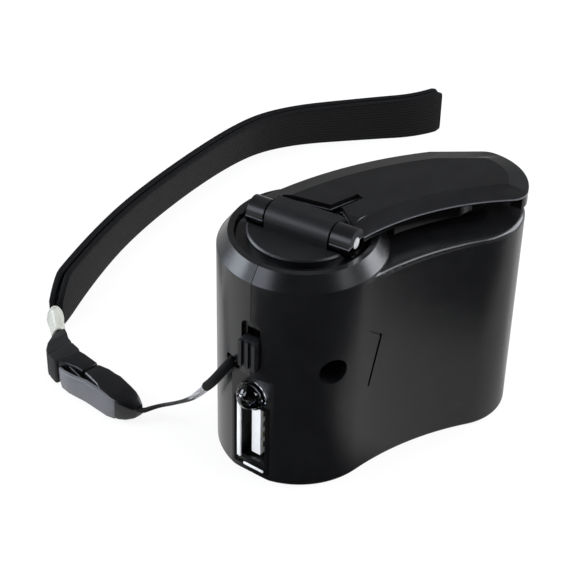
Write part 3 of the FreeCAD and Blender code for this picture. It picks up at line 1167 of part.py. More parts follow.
def tube(name, points, diameter):
    """A round tube along a route: a cylinder for each run and part of a torus for each arc."""
    edges, length = rounded_path(points, name)
    pieces = []
    for edge in edges:
        begin, end = edge.valueAt(edge.FirstParameter), edge.valueAt(edge.LastParameter)
        heading = edge.tangentAt(edge.FirstParameter)
        if edge.Curve.TypeId == "Part::GeomCircle":
            disk = Part.Face(Part.Wire(Part.Circle(begin, heading, diameter / 2).toShape()))
            sweep = math.degrees(edge.LastParameter - edge.FirstParameter)
            pieces.append(disk.revolve(edge.Curve.Center, edge.Curve.Axis, sweep))
        else:
            pieces.append(Part.makeCylinder(diameter / 2, (end - begin).Length, begin, heading))
    solid = pieces[0].multiFuse(pieces[1:]).removeSplitter()
    expected = length * math.pi * diameter ** 2 / 4
    if len(solid.Solids) != 1 or abs(solid.Volume / expected - 1) > 0.01:
        raise ValueError(f"{name} lost its round section")
    return stored(name, solid.Solids[0])


def port_point(out, across, up):
    """A point given in the port frame."""
    return Rotation(Z_AXIS, size("port_angle")).multVec(Vector(out, across, up))


board_far = size("usb_width") / 2 + size("board_thickness")
wire = 2 * size("wire_radius")
wire_z = size("motor_bottom") - size("motor_cap") - size("wire_radius") - 0.1
terminal_left = size("spine_chord") - size("terminal_spread") / 2
terminal_right = size("spine_chord") + size("terminal_spread") / 2
beside = size("terminal_width") / 2 + size("wire_radius")
solder_y = board_far + wire
node(tube("motor_wire_a", [
    Vector(terminal_left, beside, wire_z), Vector(16.0, 4.4, wire_z + 0.1),
    Vector(5.9, -1.9, wire_z + 1.4), port_point(1.0, solder_y, 5.4)], wire))
node(tube("motor_wire_b", [
    Vector(terminal_right, -beside - 0.1, wire_z), Vector(16.5, -4.6, wire_z + 0.1),
    Vector(7.5, -3.8, wire_z + 5.0), port_point(-0.2, solder_y, 13.0)], wire))

# two thin cords straddle the bar behind the wall, run side by side and end in the buckle's nose
cord = size("cord_diameter")
inside_x = size("lanyard_bar_x") - 0.7
outside_x = size("big_radius") + 1.0
cord_y, cord_z = size("lanyard_y"), size("lanyard_z")
inside_shift, outside_shift = size("cord_pitch") / 2, size("cord_pair_pitch") / 2
node(tube("lanyard_cord_a", [
    port_point(inside_x, cord_y - inside_shift, cord_z),
    port_point(outside_x, cord_y - outside_shift, cord_z),
    Vector(-18.2, -2.6, 20.7), Vector(-18.4, 2.8, 13.9), Vector(-18.5, 8.4, 7.3),
    Vector(-20.0, 12.4, 3.6), Vector(-22.7, 14.1, 2.5), Vector(-27.2, 13.3, 2.6),
    Vector(-29.1, 17.5, 2.6)], cord))
node(tube("lanyard_cord_b", [
    port_point(inside_x, cord_y + inside_shift, cord_z),
    port_point(outside_x, cord_y + outside_shift, cord_z),
    Vector(-17.6, -3.2, 20.1), Vector(-17.6, 2.4, 13.7), Vector(-17.5, 8.4, 7.1),
    Vector(-19.2, 12.8, 3.2), Vector(-22.7, 14.9, 1.9), Vector(-26.6, 14.1, 2.4),
    Vector(-28.1, 17.9, 2.6)], cord))
node(turn(group("lanyard_bar", rod(
    "lanyard_bar_rod", "lanyard_bar_radius", "lanyard_bar_length", "lanyard_bar_x",
    "lanyard_y", "lanyard_z - lanyard_bar_length / 2")), "port_angle"))

# the wrist strap is a flat loop of webbing lying on its edge, doubled back on itself
strap_route = [Vector(-31.6, 47.8, 0), Vector(-22.0, 58.5, 0), Vector(-4.4, 73.6, 0),
               Vector(23.2, 89.7, 0), Vector(37.5, 93.0, 0), Vector(58.3, 88.1, 0),
               Vector(70.2, 84.9, 0), Vector(75.9, 85.9, 0)]
strap_edges, strap_length = rounded_path(strap_route, "wrist_strap")
strap_path = Part.Wire(strap_edges)
strap_half = size("strap_layer") + size("strap_gap") / 2
loop = Part.Face([strap_path.makeOffset2D(strap_half), strap_path.makeOffset2D(
    size("strap_gap") / 2).reversed()])
loop.validate()
node(stored("wrist_strap", loop.extrude(Vector(0, 0, size("strap_width")))))
print("wrist_strap webbing", round(2 * strap_length, 1), "mm by", size("strap_width"),
      "mm, volume", round(nodes[-1].Shape.Volume, 1))

# a short link of webbing runs through the ferrule to the buckle
strap_end = "(ferrule_length / 2 + 0.2)"
link = place(block("link_block", "link_length", "link_thickness", "link_height",
                   f"-{strap_end}", "-link_thickness / 2",
                   "ferrule_height / 2 - link_height / 2"),
             f"-{strap_end}", "-link_thickness / 2", "ferrule_height / 2 - link_height / 2")
strap_link = turn(group("strap_link", link), "ferrule_angle")
node(place(strap_link, "ferrule_x", "ferrule_y"))
ferrule = turn(cut("strap_ferrule",
                   block("ferrule_outer", "ferrule_length", "ferrule_width",
                         "ferrule_height", "-ferrule_length / 2", "-ferrule_width / 2", "0"),
                   block("ferrule_opening", "ferrule_length",
                         "ferrule_width - 2 * ferrule_wall",
                         "ferrule_height - 2 * ferrule_wall", "-ferrule_length / 2",
                         "-ferrule_width / 2 + ferrule_wall", "ferrule_wall")),
               "ferrule_angle")
node(place(ferrule, "ferrule_x", "ferrule_y"))

# side-release buckle, in its own frame: X runs from the strap towards the nose


def round_upright(name, prism, radius, low_x, high_x):
    """Round the upright edges of a prism that stand between two places along X."""
    doc.recompute()
    amount = size(radius)
    rounded = doc.addObject("Part::Fillet", name)
    rounded.Base = prism
    rounded.Edges = [
        (index, amount, amount) for index, edge in enumerate(prism.Shape.Edges, start=1)
        if edge.BoundBox.XLength < 1e-6 and edge.BoundBox.YLength < 1e-6
        and low_x < edge.BoundBox.XMin < high_x]
    return rounded


inner_width = "(buckle_width - 2 * buckle_wall)"
inner_height = "(buckle_thickness - 2 * buckle_wall)"
socket_prism = extrude("socket_prism", polygon("socket_outline", [
    ("socket_start", "-buckle_width / 2"), ("nose_start", "-buckle_width / 2"),
    ("socket_end", "-buckle_nose / 2"), ("socket_end", "buckle_nose / 2"),
    ("nose_start", "buckle_width / 2"), ("socket_start", "buckle_width / 2")]),
    "buckle_thickness")
socket_space = fuse(
    "socket_space",
    block("socket_cavity", "nose_start - socket_start", inner_width, inner_height,
          "socket_start", f"-{inner_width} / 2", "buckle_wall"),
    block("socket_windows", "window_length", "2 * buckle_width", inner_height,
          "nose_start - window_length", "-buckle_width", "buckle_wall"),
    block("nose_hole", "2 * nose_length", "buckle_nose - 2 * buckle_wall",
          "buckle_thickness - 3 * buckle_wall", "nose_start - nose_length / 2",
          "-buckle_nose / 2 + buckle_wall", "1.5 * buckle_wall"))
socket_form = round_upright("socket_form", socket_prism, "buckle_corner",
                            size("socket_start") + 0.1, size("buckle_length"))
socket = turn(cut("buckle_socket", socket_form, socket_space), "buckle_angle")
node(place(socket, "buckle_x", "buckle_y"))

heel_mouth = "(socket_start - buckle_split)"
heel_prism = extrude("heel_prism", polygon("heel_outline", [
    ("heel_start", "-heel_width / 2"), ("heel_start + heel_waist_x", "-heel_waist / 2"),
    (heel_mouth, "-buckle_width / 2"), (heel_mouth, "buckle_width / 2"),
    ("heel_start + heel_waist_x", "heel_waist / 2"), ("heel_start", "heel_width / 2")]),
    "buckle_thickness")
heel_form = round_upright("heel_form", heel_prism, "buckle_corner",
                          -size("buckle_length"), size("socket_start") - 1)
heel_slot = block("heel_slot", "heel_slot_width", "heel_waist - 2 * buckle_wall",
                  "2 * buckle_thickness", "heel_start + heel_bar",
                  "-heel_waist / 2 + buckle_wall", "-buckle_thickness / 2")
prong_low = "(buckle_wall + prong_play)"
prong_tall = f"{inner_height} - 2 * prong_play"
pad_width = "(buckle_wall + prong_play + prong_width)"
prongs = []
for side, near, pad in (
        ("left", f"-{inner_width} / 2 + prong_play", "-buckle_width / 2"),
        ("right", f"{inner_width} / 2 - prong_play - prong_width",
         f"buckle_width / 2 - {pad_width}")):
    prongs.append(block(f"prong_{side}", f"nose_start - {heel_mouth} - prong_play",
                        "prong_width", prong_tall, heel_mouth, near, prong_low))
    prongs.append(block(f"pad_{side}", "window_length - 3 * prong_play", pad_width,
                        prong_tall, "nose_start - window_length + 2 * prong_play", pad,
                        prong_low))
tongue = block("heel_tongue", f"nose_start - {heel_mouth} - 4 * prong_play", "tongue_blade",
               prong_tall, heel_mouth, "-tongue_blade / 2", prong_low)
plug = turn(fuse("buckle_plug", cut("heel", heel_form, heel_slot), tongue, *prongs),
            "buckle_angle")
node(place(plug, "buckle_x", "buckle_y"))

# ---- check every object, then write one STEP file for each node -------------------------------

doc.recompute()
for item in doc.Objects:
    if "Invalid" in item.State or "Error" in item.State:
        raise ValueError(f"{item.Name} didn't build: {item.State}")
os.makedirs("parts", exist_ok=True)
for item in nodes:
    shape = item.Shape
    if shape.isNull() or not shape.isValid() or not shape.Solids:
        raise ValueError(f"{item.Label} isn't a valid solid")
    shape.exportStep(f"parts/{item.Label}.step")
print(len(nodes), "nodes written")
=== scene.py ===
import bmesh
import bpy
import math
from mathutils import Matrix, Vector


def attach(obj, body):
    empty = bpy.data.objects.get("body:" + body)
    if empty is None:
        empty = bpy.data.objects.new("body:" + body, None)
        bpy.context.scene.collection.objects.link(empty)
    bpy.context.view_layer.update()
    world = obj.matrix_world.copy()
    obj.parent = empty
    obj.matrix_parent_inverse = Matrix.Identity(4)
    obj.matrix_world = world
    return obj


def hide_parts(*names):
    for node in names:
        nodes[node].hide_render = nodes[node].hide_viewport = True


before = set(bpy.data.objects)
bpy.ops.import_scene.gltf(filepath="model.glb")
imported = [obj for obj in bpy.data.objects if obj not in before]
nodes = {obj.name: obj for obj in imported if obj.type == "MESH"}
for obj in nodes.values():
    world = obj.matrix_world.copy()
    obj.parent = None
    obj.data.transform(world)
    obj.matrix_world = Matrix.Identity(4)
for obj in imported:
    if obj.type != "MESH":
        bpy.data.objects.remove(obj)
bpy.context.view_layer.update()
scene = bpy.context.scene


# ---- camera --------------------------------------------------------------------------------
# A long lens looks down on the big end from the front left. It stands well off, so that upright
# edges stay nearly parallel, and its frame is tilted very slightly.
CAMERA_PLACE = (-0.10303, -0.21498, 0.21310)
CAMERA_AZIMUTH = math.radians(-25.026)
CAMERA_ELEVATION = math.radians(36.997)
CAMERA_ROLL = math.radians(1.308)
SENSOR_WIDTH = 36.0
FOCAL_LENGTH = 105.88
NEAREST_SEEN = 0.01

lens = bpy.data.cameras.new("camera")
lens.sensor_width = SENSOR_WIDTH
lens.lens = FOCAL_LENGTH
lens.clip_start = NEAREST_SEEN
camera = bpy.data.objects.new("camera", lens)
scene.collection.objects.link(camera)
aim = (Matrix.Rotation(CAMERA_AZIMUTH, 3, "Z")
       @ Matrix.Rotation(math.pi / 2 - CAMERA_ELEVATION, 3, "X")
       @ Matrix.Rotation(CAMERA_ROLL, 3, "Z"))
camera.matrix_world = Matrix.Translation(CAMERA_PLACE) @ aim.to_4x4()
scene.camera = camera
scene.view_settings.view_transform = "Standard"


# ---- studio --------------------------------------------------------------------------------
# A white sweep lies under softboxes at the left rear, the near left, the right and high at the front
# right, and under a broad weak one overhead that mirrors don't show. In front of the charger a zone
# of the floor is dark for reflections alone, as a black card laid there would make it.
class Value:
    """A socket of a shader node that takes part in sums."""

    def __init__(self, finish, socket):
        self.finish = finish
        self.socket = socket

    def combined(self, operation, first, second):
        return self.finish.node("ShaderNodeMath", {"operation": operation}, {0: first, 1: second})

    def __add__(self, other):
        return self.combined("ADD", self, other)

    def __sub__(self, other):
        return self.combined("SUBTRACT", self, other)

    def __rsub__(self, other):
        return self.combined("SUBTRACT", other, self)

    def __mul__(self, other):
        return self.combined("MULTIPLY", self, other)

    __radd__ = __add__
    __rmul__ = __mul__


class Finish:
    """A material or the world while its nodes are put together."""

    def __init__(self, owner, fresh=True):
        owner.use_nodes = True
        self.owner = owner
        self.tree = owner.node_tree
        if fresh:
            self.tree.nodes.clear()

    def node(self, kind, settings, inputs, output=0):
        """One node: its settings first, then the numbers or links of its sockets."""
        made = self.tree.nodes.new(kind)
        for name, value in settings.items():
            setattr(made, name, value)
        for name, value in inputs.items():
            if isinstance(value, Value):
                self.tree.links.new(value.socket, made.inputs[name])
            else:
                made.inputs[name].default_value = value
        return Value(self, made.outputs[output]) if made.outputs else None

    def ramp(self, value, low, high):
        """0 where the value is at low, 1 where it is at high, and smooth between."""
        return self.node("ShaderNodeMapRange", {"interpolation_type": "SMOOTHSTEP"},
                         {"Value": value, "From Min": low, "From Max": high})

    def blend(self, share, first, second):
        """The first colour where the share is 0, the second where it is 1."""
        first, second = (colour if isinstance(colour, Value) else (*colour, 1.0)
                         for colour in (first, second))
        return self.node("ShaderNodeMix", {"data_type": "RGBA"}, {0: share, 6: first, 7: second}, 2)

    def axis(self, vector, name):
        return self.node("ShaderNodeSeparateXYZ", {}, {0: vector}, name)

    def show(self, shader, kind="ShaderNodeOutputMaterial"):
        self.node(kind, {}, {"Surface": shader})
        return self.owner


FLOOR_SIZE = 6.0
FLOOR_DROP = 0.00005
FLOOR_WHITE = (0.86, 0.86, 0.86, 1.0)
FLOOR_GLOW = 0.88
FLOOR_MIRROR = 0.84
DARK_EDGE_Y = (-0.0075, -0.0020)
DARK_MIDDLE_X = 0.015
DARK_REACH_X = (0.080, 0.120)
DARK_LEVEL = 0.03
THIN_FROM_X = (0.002, 0.016)
THIN_FROM_Y = (-0.044, -0.034)
THIN_SHARE = 0.62

bpy.ops.object.select_all(action="DESELECT")
bpy.ops.mesh.primitive_plane_add(size=FLOOR_SIZE, location=(0, 0, -FLOOR_DROP))
floor = bpy.context.object
floor.name = "studio_floor"

sweep = Finish(bpy.data.materials.new("floor_white"))
path = sweep.node("ShaderNodeLightPath", {}, {})
ray = path.socket.node.outputs
place = sweep.node("ShaderNodeTexCoord", {}, {}, "Object")
floor_x = sweep.axis(place, "X")
floor_y = sweep.axis(place, "Y")
aside = sweep.node("ShaderNodeMath", {"operation": "ABSOLUTE"}, {0: floor_x - DARK_MIDDLE_X})
thin = sweep.ramp(floor_x, *THIN_FROM_X) * sweep.ramp(floor_y, *THIN_FROM_Y) * THIN_SHARE
dark = (1 - sweep.ramp(floor_y, *DARK_EDGE_Y)) * (1 - sweep.ramp(aside, *DARK_REACH_X)) * (1 - thin)
reflected = (1 - dark * (1 - DARK_LEVEL)) * FLOOR_MIRROR
indirect = Value(sweep, ray["Is Glossy Ray"]) + Value(sweep, ray["Is Transmission Ray"])
glow = Value(sweep, ray["Is Camera Ray"]) * FLOOR_GLOW + indirect
paper = sweep.node("ShaderNodeBsdfDiffuse", {}, {"Color": FLOOR_WHITE})
strength = Value(sweep, ray["Is Camera Ray"]) + indirect * reflected
light = sweep.node("ShaderNodeEmission", {}, {"Strength": strength})
lit = sweep.node("ShaderNodeMixShader", {}, {0: glow, 1: paper, 2: light})
floor.data.materials.append(sweep.show(lit))

ROOM_LEVEL = 0.336
PALE_LEVEL = 0.216
DARK_SIDE_LEVEL = 0.024
PALE_WAY = (0.423, 0.906, 0.0)
PALE_TURN = (-0.25, 0.45)
PALE_HEIGHT = (0.4, 1.6)
ROOM_WHITE = (1.0, 1.0, 1.0, 1.0)

room = Finish(bpy.data.worlds.new("studio"))
scene.world = room.owner
path = room.node("ShaderNodeLightPath", {}, {})
ray = path.socket.node.outputs
view = room.node("ShaderNodeTexCoord", {}, {}, "Generated")
behind = room.node("ShaderNodeVectorMath", {"operation": "DOT_PRODUCT"}, {0: view, 1: PALE_WAY}, "Value")
pale = room.ramp(behind, *PALE_TURN) * (1 - room.ramp(room.axis(view, "Z"), *PALE_HEIGHT))
seen = Value(room, ray["Is Camera Ray"])
indirect = Value(room, ray["Is Glossy Ray"]) + Value(room, ray["Is Transmission Ray"])
mirror = pale * (PALE_LEVEL - DARK_SIDE_LEVEL) + DARK_SIDE_LEVEL
level = seen + indirect * mirror + (1 - seen - indirect) * ROOM_LEVEL
room.show(room.node("ShaderNodeBackground", {}, {"Color": ROOM_WHITE, "Strength": level}),
          "ShaderNodeOutputWorld")

# name, place, size across and up, watts, colour
SOFTBOXES = [
    ("left_softbox", (-0.35, 0.25, 0.22), (0.34, 0.20), 1.9, (0.84, 0.90, 1.0)),
    ("near_left_softbox", (-0.43, -0.06, 0.29), (0.20, 0.26), 0.65, (0.84, 0.88, 1.0)),
    ("right_softbox", (0.46, -0.03, 0.22), (0.34, 0.34), 2.6, (0.92, 0.94, 1.0)),
    ("front_softbox", (0.34, -0.27, 0.39), (0.36, 0.20), 1.5, (0.93, 0.95, 1.0)),
    ("top_softbox", (0.02, 0.10, 0.60), (0.50, 0.50), 2.2, (1.0, 1.0, 1.0)),
]
SOFTBOX_AIM = Vector((0.01, 0.0, 0.04))
for name, place, (across, up), watts, colour in SOFTBOXES:
    lamp = bpy.data.lights.new(name, "AREA")
    lamp.shape = "RECTANGLE"
    lamp.size = across
    lamp.size_y = up
    lamp.energy = watts
    lamp.color = colour
    box = bpy.data.objects.new(name, lamp)
    box.location = place
    box.rotation_euler = (SOFTBOX_AIM - Vector(place)).to_track_quat("-Z", "Y").to_euler()
    box.visible_camera = False
    box.visible_glossy = name != "top_softbox"
    scene.collection.objects.link(box)


# ---- lanyard cords -------------------------------------------------------------------------
# Two thin braided cords hang out of the slot beside the switch, drop to the table beside the big
# end and run into the nose of the buckle. Indoors both go round a steel bar. A shrunk sleeve keeps
# them together where they leave the slot. Below it a band of their braid is painted lighter and
# made smoother: a painted highlight.
CORD_DIAMETER = 0.0007
CORD_BLACK = (0.006, 0.006, 0.007)
# A band of the braid between these heights is painted lighter: a painted highlight.
CORD_HIGHLIGHT_GREY = (0.30, 0.31, 0.33)
HIGHLIGHT_LOW = 0.0075
HIGHLIGHT_HIGH = 0.0190
HIGHLIGHT_FADE = 0.002
HIGHLIGHT_GROOVES = 0.45
HIGHLIGHT_SMOOTHER = 0.35
BRAID_ROUGHNESS = 0.6
BRAID_SCALE = 900.0
BRAID_RELIEF = 0.00006
CORD_ROUTES = {
    "left_cord": [
        (-0.01220, -0.00087, 0.0244), (-0.01626, -0.00384, 0.0244), (-0.0182, -0.0026, 0.0207),
        (-0.0184, 0.0028, 0.0139), (-0.0185, 0.0084, 0.0073), (-0.0200, 0.0124, 0.0036),
        (-0.0227, 0.0141, 0.0025), (-0.0272, 0.0133, 0.0026), (-0.0291, 0.0175, 0.0026)],
    "right_cord": [
        (-0.01115, -0.00269, 0.0244), (-0.01576, -0.00471, 0.0244), (-0.0176, -0.0032, 0.0201),
        (-0.0176, 0.0024, 0.0137), (-0.0175, 0.0084, 0.0071), (-0.0192, 0.0128, 0.0032),
        (-0.0227, 0.0149, 0.0019), (-0.0266, 0.0141, 0.0024), (-0.0281, 0.0179, 0.0026)],
}
SLEEVE_DIAMETER = 0.00182
SLEEVE_ROUTE = [
    (-0.01500, -0.00370, 0.0244), (-0.01600, -0.00428, 0.0243), (-0.01745, -0.0032, 0.0214),
    (-0.01795, -0.0010, 0.0182), (-0.01800, 0.0006, 0.0164)]
PATCH_GRAINS = 12
PATCH_SPREAD = (0.3, 0.7)
ROUGHNESS_PLAY = 0.24


def round_cord(name, points, thickness):
    """A round cord along one smooth spline with these control points."""
    curve = bpy.data.curves.new(name, "CURVE")
    curve.dimensions = "3D"
    curve.resolution_u = 10
    curve.bevel_depth = thickness / 2
    curve.bevel_resolution = 3
    curve.use_fill_caps = True
    spline = curve.splines.new("NURBS")
    spline.points.add(len(points) - 1)
    for point, place in zip(spline.points, points):
        point.co = (*place, 1.0)
    spline.order_u = 3
    spline.use_endpoint_u = True
    cord = bpy.data.objects.new(name, curve)
    scene.collection.objects.link(cord)
    return cord


def own(piece, material):
    """The piece takes its material and rides on the housing."""
    piece.data.materials.clear()
    piece.data.materials.append(material)
    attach(piece, "housing")
    return piece


def grained(name, dark, light, roughness, metallic=0.0, shine=0.5, grain=4000.0, relief=0.00002):
    """A surface of two close tones with a fine even grain, such as moulded plastic or plated steel."""
    finish = Finish(bpy.data.materials.new(name))
    place = finish.node("ShaderNodeTexCoord", {}, {}, "Object")
    patches = finish.node("ShaderNodeTexNoise", {},
                          {"Vector": place, "Scale": grain / PATCH_GRAINS, "Detail": 3.0})
    fine = finish.node("ShaderNodeTexNoise", {}, {"Vector": place, "Scale": grain, "Detail": 2.0})
    return finish.show(finish.node("ShaderNodeBsdfPrincipled", {}, {
        "Base Color": finish.blend(finish.ramp(patches, *PATCH_SPREAD), dark, light),
        "Roughness": roughness * (1 - ROUGHNESS_PLAY / 2) + patches * roughness * ROUGHNESS_PLAY,
        "Metallic": metallic, "Specular IOR Level": shine,
        "Normal": finish.node("ShaderNodeBump", {}, {"Strength": 0.6, "Distance": relief, "Height": fine})}))


def dress(material, *names):
    """The CAD nodes of these names take this material."""
    for name in names:
        nodes[name].data.materials.clear()
        nodes[name].data.materials.append(material)


braid = Finish(bpy.data.materials.new("cord_braid"))
place = braid.node("ShaderNodeTexCoord", {}, {}, "Object")
height = braid.axis(place, "Z")
# The band between these heights is the painted highlight: lighter braid, and smoother.
painted_highlight = (braid.ramp(height, HIGHLIGHT_LOW, HIGHLIGHT_LOW + HIGHLIGHT_FADE)
        * (1 - braid.ramp(height, HIGHLIGHT_HIGH - HIGHLIGHT_FADE, HIGHLIGHT_HIGH)))
strands = braid.node("ShaderNodeTexWave", {"bands_direction": "DIAGONAL"},
                     {"Vector": place, "Scale": BRAID_SCALE, "Distortion": 1.5, "Detail": 1.0})
braid_black = braid.show(braid.node("ShaderNodeBsdfPrincipled", {}, {
    "Base Color": braid.blend(painted_highlight * (1 - HIGHLIGHT_GROOVES + strands * HIGHLIGHT_GROOVES), CORD_BLACK, CORD_HIGHLIGHT_GREY),
    "Roughness": BRAID_ROUGHNESS - painted_highlight * HIGHLIGHT_SMOOTHER,
    "Normal": braid.node("ShaderNodeBump", {},
                         {"Strength": 0.6, "Distance": BRAID_RELIEF, "Height": strands})}))
cords = [own(round_cord(name, points, CORD_DIAMETER), braid_black)
         for name, points in CORD_ROUTES.items()]
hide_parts("lanyard_cord_a")
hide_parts("lanyard_cord_b")
sleeve_rubber = grained("sleeve_rubber", dark=(0.004, 0.004, 0.0045), light=(0.006, 0.006, 0.0065),
                        roughness=0.7, shine=0.12)
sleeve = own(round_cord("cord_sleeve", SLEEVE_ROUTE, SLEEVE_DIAMETER), sleeve_rubber)
dress(grained("bar_steel", dark=(0.30, 0.31, 0.33), light=(0.5, 0.51, 0.53), roughness=0.32, metallic=1.0),
      "lanyard_bar")


# ---- housing -------------------------------------------------------------------------------
# Two hollow semi-gloss black mouldings meet along a fine seam down the big end. The turret rim
# and the shelf under the arm are part of them.
dress(grained("housing_plastic", dark=(0.0048, 0.0050, 0.0056), light=(0.0066, 0.0068, 0.0074),
              roughness=0.26, relief=0.000012), "front_shell", "rear_shell")


# ---- screws --------------------------------------------------------------------------------
# Zinc-plated self-tapping screws hold the shells, the gear plates and the motor, and a shouldered
# one holds the crank knob.
dress(grained("zinc_steel", dark=(0.30, 0.31, 0.33), light=(0.5, 0.51, 0.53), roughness=0.32, metallic=1.0),
      "housing_screw", "knob_pin", "plate_screws", "motor_screws")


# ---- gear train ----------------------------------------------------------------------------
# Acetal gears step the crank's turns up to the motor. They run on ground steel between two
# glass-filled plates, and the crank shaft runs in acetal bushes.
dress(grained("acetal", dark=(0.70, 0.69, 0.64), light=(0.80, 0.79, 0.74), roughness=0.45),
      "top_bush", "lower_bush", "drive_gear", "first_step_gear", "second_step_gear", "motor_pinion")
dress(grained("ground_steel", dark=(0.45, 0.45, 0.46), light=(0.6, 0.6, 0.61), roughness=0.25, metallic=1.0),
      "crank_shaft", "gear_axles", "motor_shaft")
dress(grained("glass_filled_plate", dark=(0.035, 0.035, 0.038), light=(0.05, 0.05, 0.054),
              roughness=0.5, grain=2500.0), "lower_gear_plate", "upper_gear_plate")


# ---- motor ---------------------------------------------------------------------------------
# A small brushed motor stands under the train and works as the generator: a drawn steel can with
# two ferrite magnets, closed by a nylon cap that carries the brass terminals.
dress(grained("drawn_can", dark=(0.40, 0.40, 0.41), light=(0.55, 0.55, 0.56), roughness=0.3,
              metallic=1.0, grain=1800.0), "motor_can")
dress(grained("ferrite", dark=(0.035, 0.035, 0.038), light=(0.06, 0.06, 0.065), roughness=0.6,
              grain=2500.0), "motor_magnets")
dress(grained("nylon_cap", dark=(0.60, 0.60, 0.57), light=(0.72, 0.72, 0.69), roughness=0.5),
      "motor_end_cap")
dress(grained("brass_plate", dark=(0.60, 0.42, 0.15), light=(0.78, 0.58, 0.24), roughness=0.3, metallic=1.0),
      "motor_terminals")


# ---- circuit -------------------------------------------------------------------------------
# A green board stands behind the socket with its rectifier, smoothing capacitor, inductor and
# regulator, and two insulated wires lead to the motor.
dress(grained("solder_mask", dark=(0.02, 0.09, 0.04), light=(0.03, 0.13, 0.06), roughness=0.3,
              grain=1500.0), "main_board")
dress(grained("capacitor_sleeve", dark=(0.012, 0.012, 0.03), light=(0.02, 0.02, 0.045), roughness=0.3),
      "capacitor")
dress(grained("inductor_ferrite", dark=(0.04, 0.04, 0.042), light=(0.06, 0.06, 0.062), roughness=0.6),
      "inductor")
dress(grained("epoxy_package", dark=(0.015, 0.015, 0.016), light=(0.025, 0.025, 0.026), roughness=0.5),
      "regulator_chip", "rectifier_diodes")
dress(grained("red_insulation", dark=(0.40, 0.02, 0.015), light=(0.50, 0.03, 0.02), roughness=0.4),
      "motor_wire_a")
dress(grained("black_insulation", dark=(0.012, 0.012, 0.013), light=(0.02, 0.02, 0.021), roughness=0.4),
      "motor_wire_b")


# ---- socket --------------------------------------------------------------------------------
# An upright USB-A socket: a folded nickel-plated shell, a white moulded tongue and gilt contacts
# on its far side. Lips are flared at its mouth, near-white in the tin's own tone and a painted
# reflection, and a thin near-black rim round the mouth is painted shade of the gap to the wall.
# Stations of a bar are in millimetres: x, y, width, low and high.
PORT_ANGLE = -150.0
PORT_PLACE = (0, 0)
SHADE_RIM = [(14.28, -0.2, 7.7, 1.2, 16.9), (14.38, -0.2, 7.7, 1.2, 16.9)]
SHADE_RIM_WALL = 0.0008
SIDE_LIP = [(14.2, -2.75, 0.5, 3.0, 15.6), (14.4, -2.85, 0.7, 2.8, 15.7), (14.56, -2.92, 0.8, 2.8, 15.7)]
FOOT_LIP = [(14.2, 0.35, 4.4, 1.45, 1.9), (14.4, 0.35, 4.5, 1.35, 1.85), (14.56, 0.35, 4.5, 1.25, 1.7)]
SAME_PLACE = 0.000001
SHADED_SMOOTH = math.radians(40)


def choose(test):
    """In edit mode, only the faces whose middle passes the test are selected."""
    bpy.ops.mesh.select_mode(type="FACE")
    bpy.ops.mesh.select_all(action="DESELECT")
    mesh = bmesh.from_edit_mesh(bpy.context.object.data)
    for face in mesh.faces:
        face.select_set(test(face.calc_center_median()))
    mesh.select_flush_mode()
    bmesh.update_edit_mesh(bpy.context.object.data)


def bar(name, stations, sides=4):
    """A bar along X, drawn out from station to station, with a rectangular or a round section."""
    bpy.ops.object.select_all(action="DESELECT")
    if sides == 4:
        bpy.ops.mesh.primitive_plane_add(size=1.0)
    else:
        bpy.ops.mesh.primitive_circle_add(vertices=sides, radius=0.5, fill_type="NGON")
    piece = bpy.context.object
    piece.name = name
    bpy.ops.object.mode_set(mode="EDIT")
    bpy.ops.transform.rotate(value=math.pi / 2, orient_axis="Y", center_override=(0, 0, 0))
    x, y, width, low, high = stations[0]
    bpy.ops.transform.resize(value=(1, width / 1000, (high - low) / 1000), center_override=(0, 0, 0))
    bpy.ops.transform.translate(value=(x / 1000, y / 1000, (low + high) / 2000))
    for before, after in zip(stations, stations[1:]):
        step = [(b - a) / 1000 for a, b in zip(before, after)]
        centre = Vector((after[0], after[1], (after[3] + after[4]) / 2)) / 1000
        bpy.ops.mesh.extrude_region_move(
            TRANSFORM_OT_translate={"value": (step[0], step[1], (step[3] + step[4]) / 2)})
        bpy.ops.transform.resize(
            value=(1, after[2] / before[2], (after[4] - after[3]) / (before[4] - before[3])),
            center_override=centre)
    bpy.ops.mesh.select_all(action="SELECT")
    bpy.ops.mesh.remove_doubles(threshold=SAME_PLACE)
    bpy.ops.mesh.normals_make_consistent(inside=False)
    bpy.ops.object.mode_set(mode="OBJECT")
    return piece


def hollowed(piece, wall):
    """A hole right through a bar with this wall round it: both end faces are inset and bridged."""
    reach = [point.co.x for point in piece.data.vertices]
    ends = (min(reach), max(reach))
    bpy.ops.object.mode_set(mode="EDIT")
    choose(lambda middle: min(abs(middle.x - end) for end in ends) < SAME_PLACE)
    bpy.ops.mesh.inset(thickness=wall)
    bpy.ops.mesh.bridge_edge_loops()
    bpy.ops.object.mode_set(mode="OBJECT")
    return piece


def finished(piece, kind, **settings):
    """One modifier is set up and applied."""
    modifier = piece.modifiers.new(kind.lower(), kind)
    for name, value in settings.items():
        setattr(modifier, name, value)
    bpy.context.view_layer.objects.active = piece
    bpy.ops.object.modifier_apply(modifier=modifier.name)


def rounded(piece, radius, angle=25.0, segments=3):
    """Edges sharper than this angle are rounded in millimetres, and it is shaded smooth between."""
    finished(piece, "BEVEL", width=radius / 1000, segments=segments, limit_method="ANGLE",
             angle_limit=math.radians(angle))
    bpy.ops.object.select_all(action="DESELECT")
    piece.select_set(True)
    bpy.ops.object.shade_smooth_by_angle(angle=SHADED_SMOOTH)
    return piece


def settled(piece, angle, place):
    """The piece is turned about Z and moved to its place, which goes into its mesh."""
    bpy.ops.object.select_all(action="DESELECT")
    piece.select_set(True)
    bpy.context.view_layer.objects.active = piece
    piece.rotation_euler = (0, 0, math.radians(angle))
    piece.location = (place[0] / 1000, place[1] / 1000, 0)
    bpy.ops.object.transform_apply(location=True, rotation=True, scale=True)
    return piece


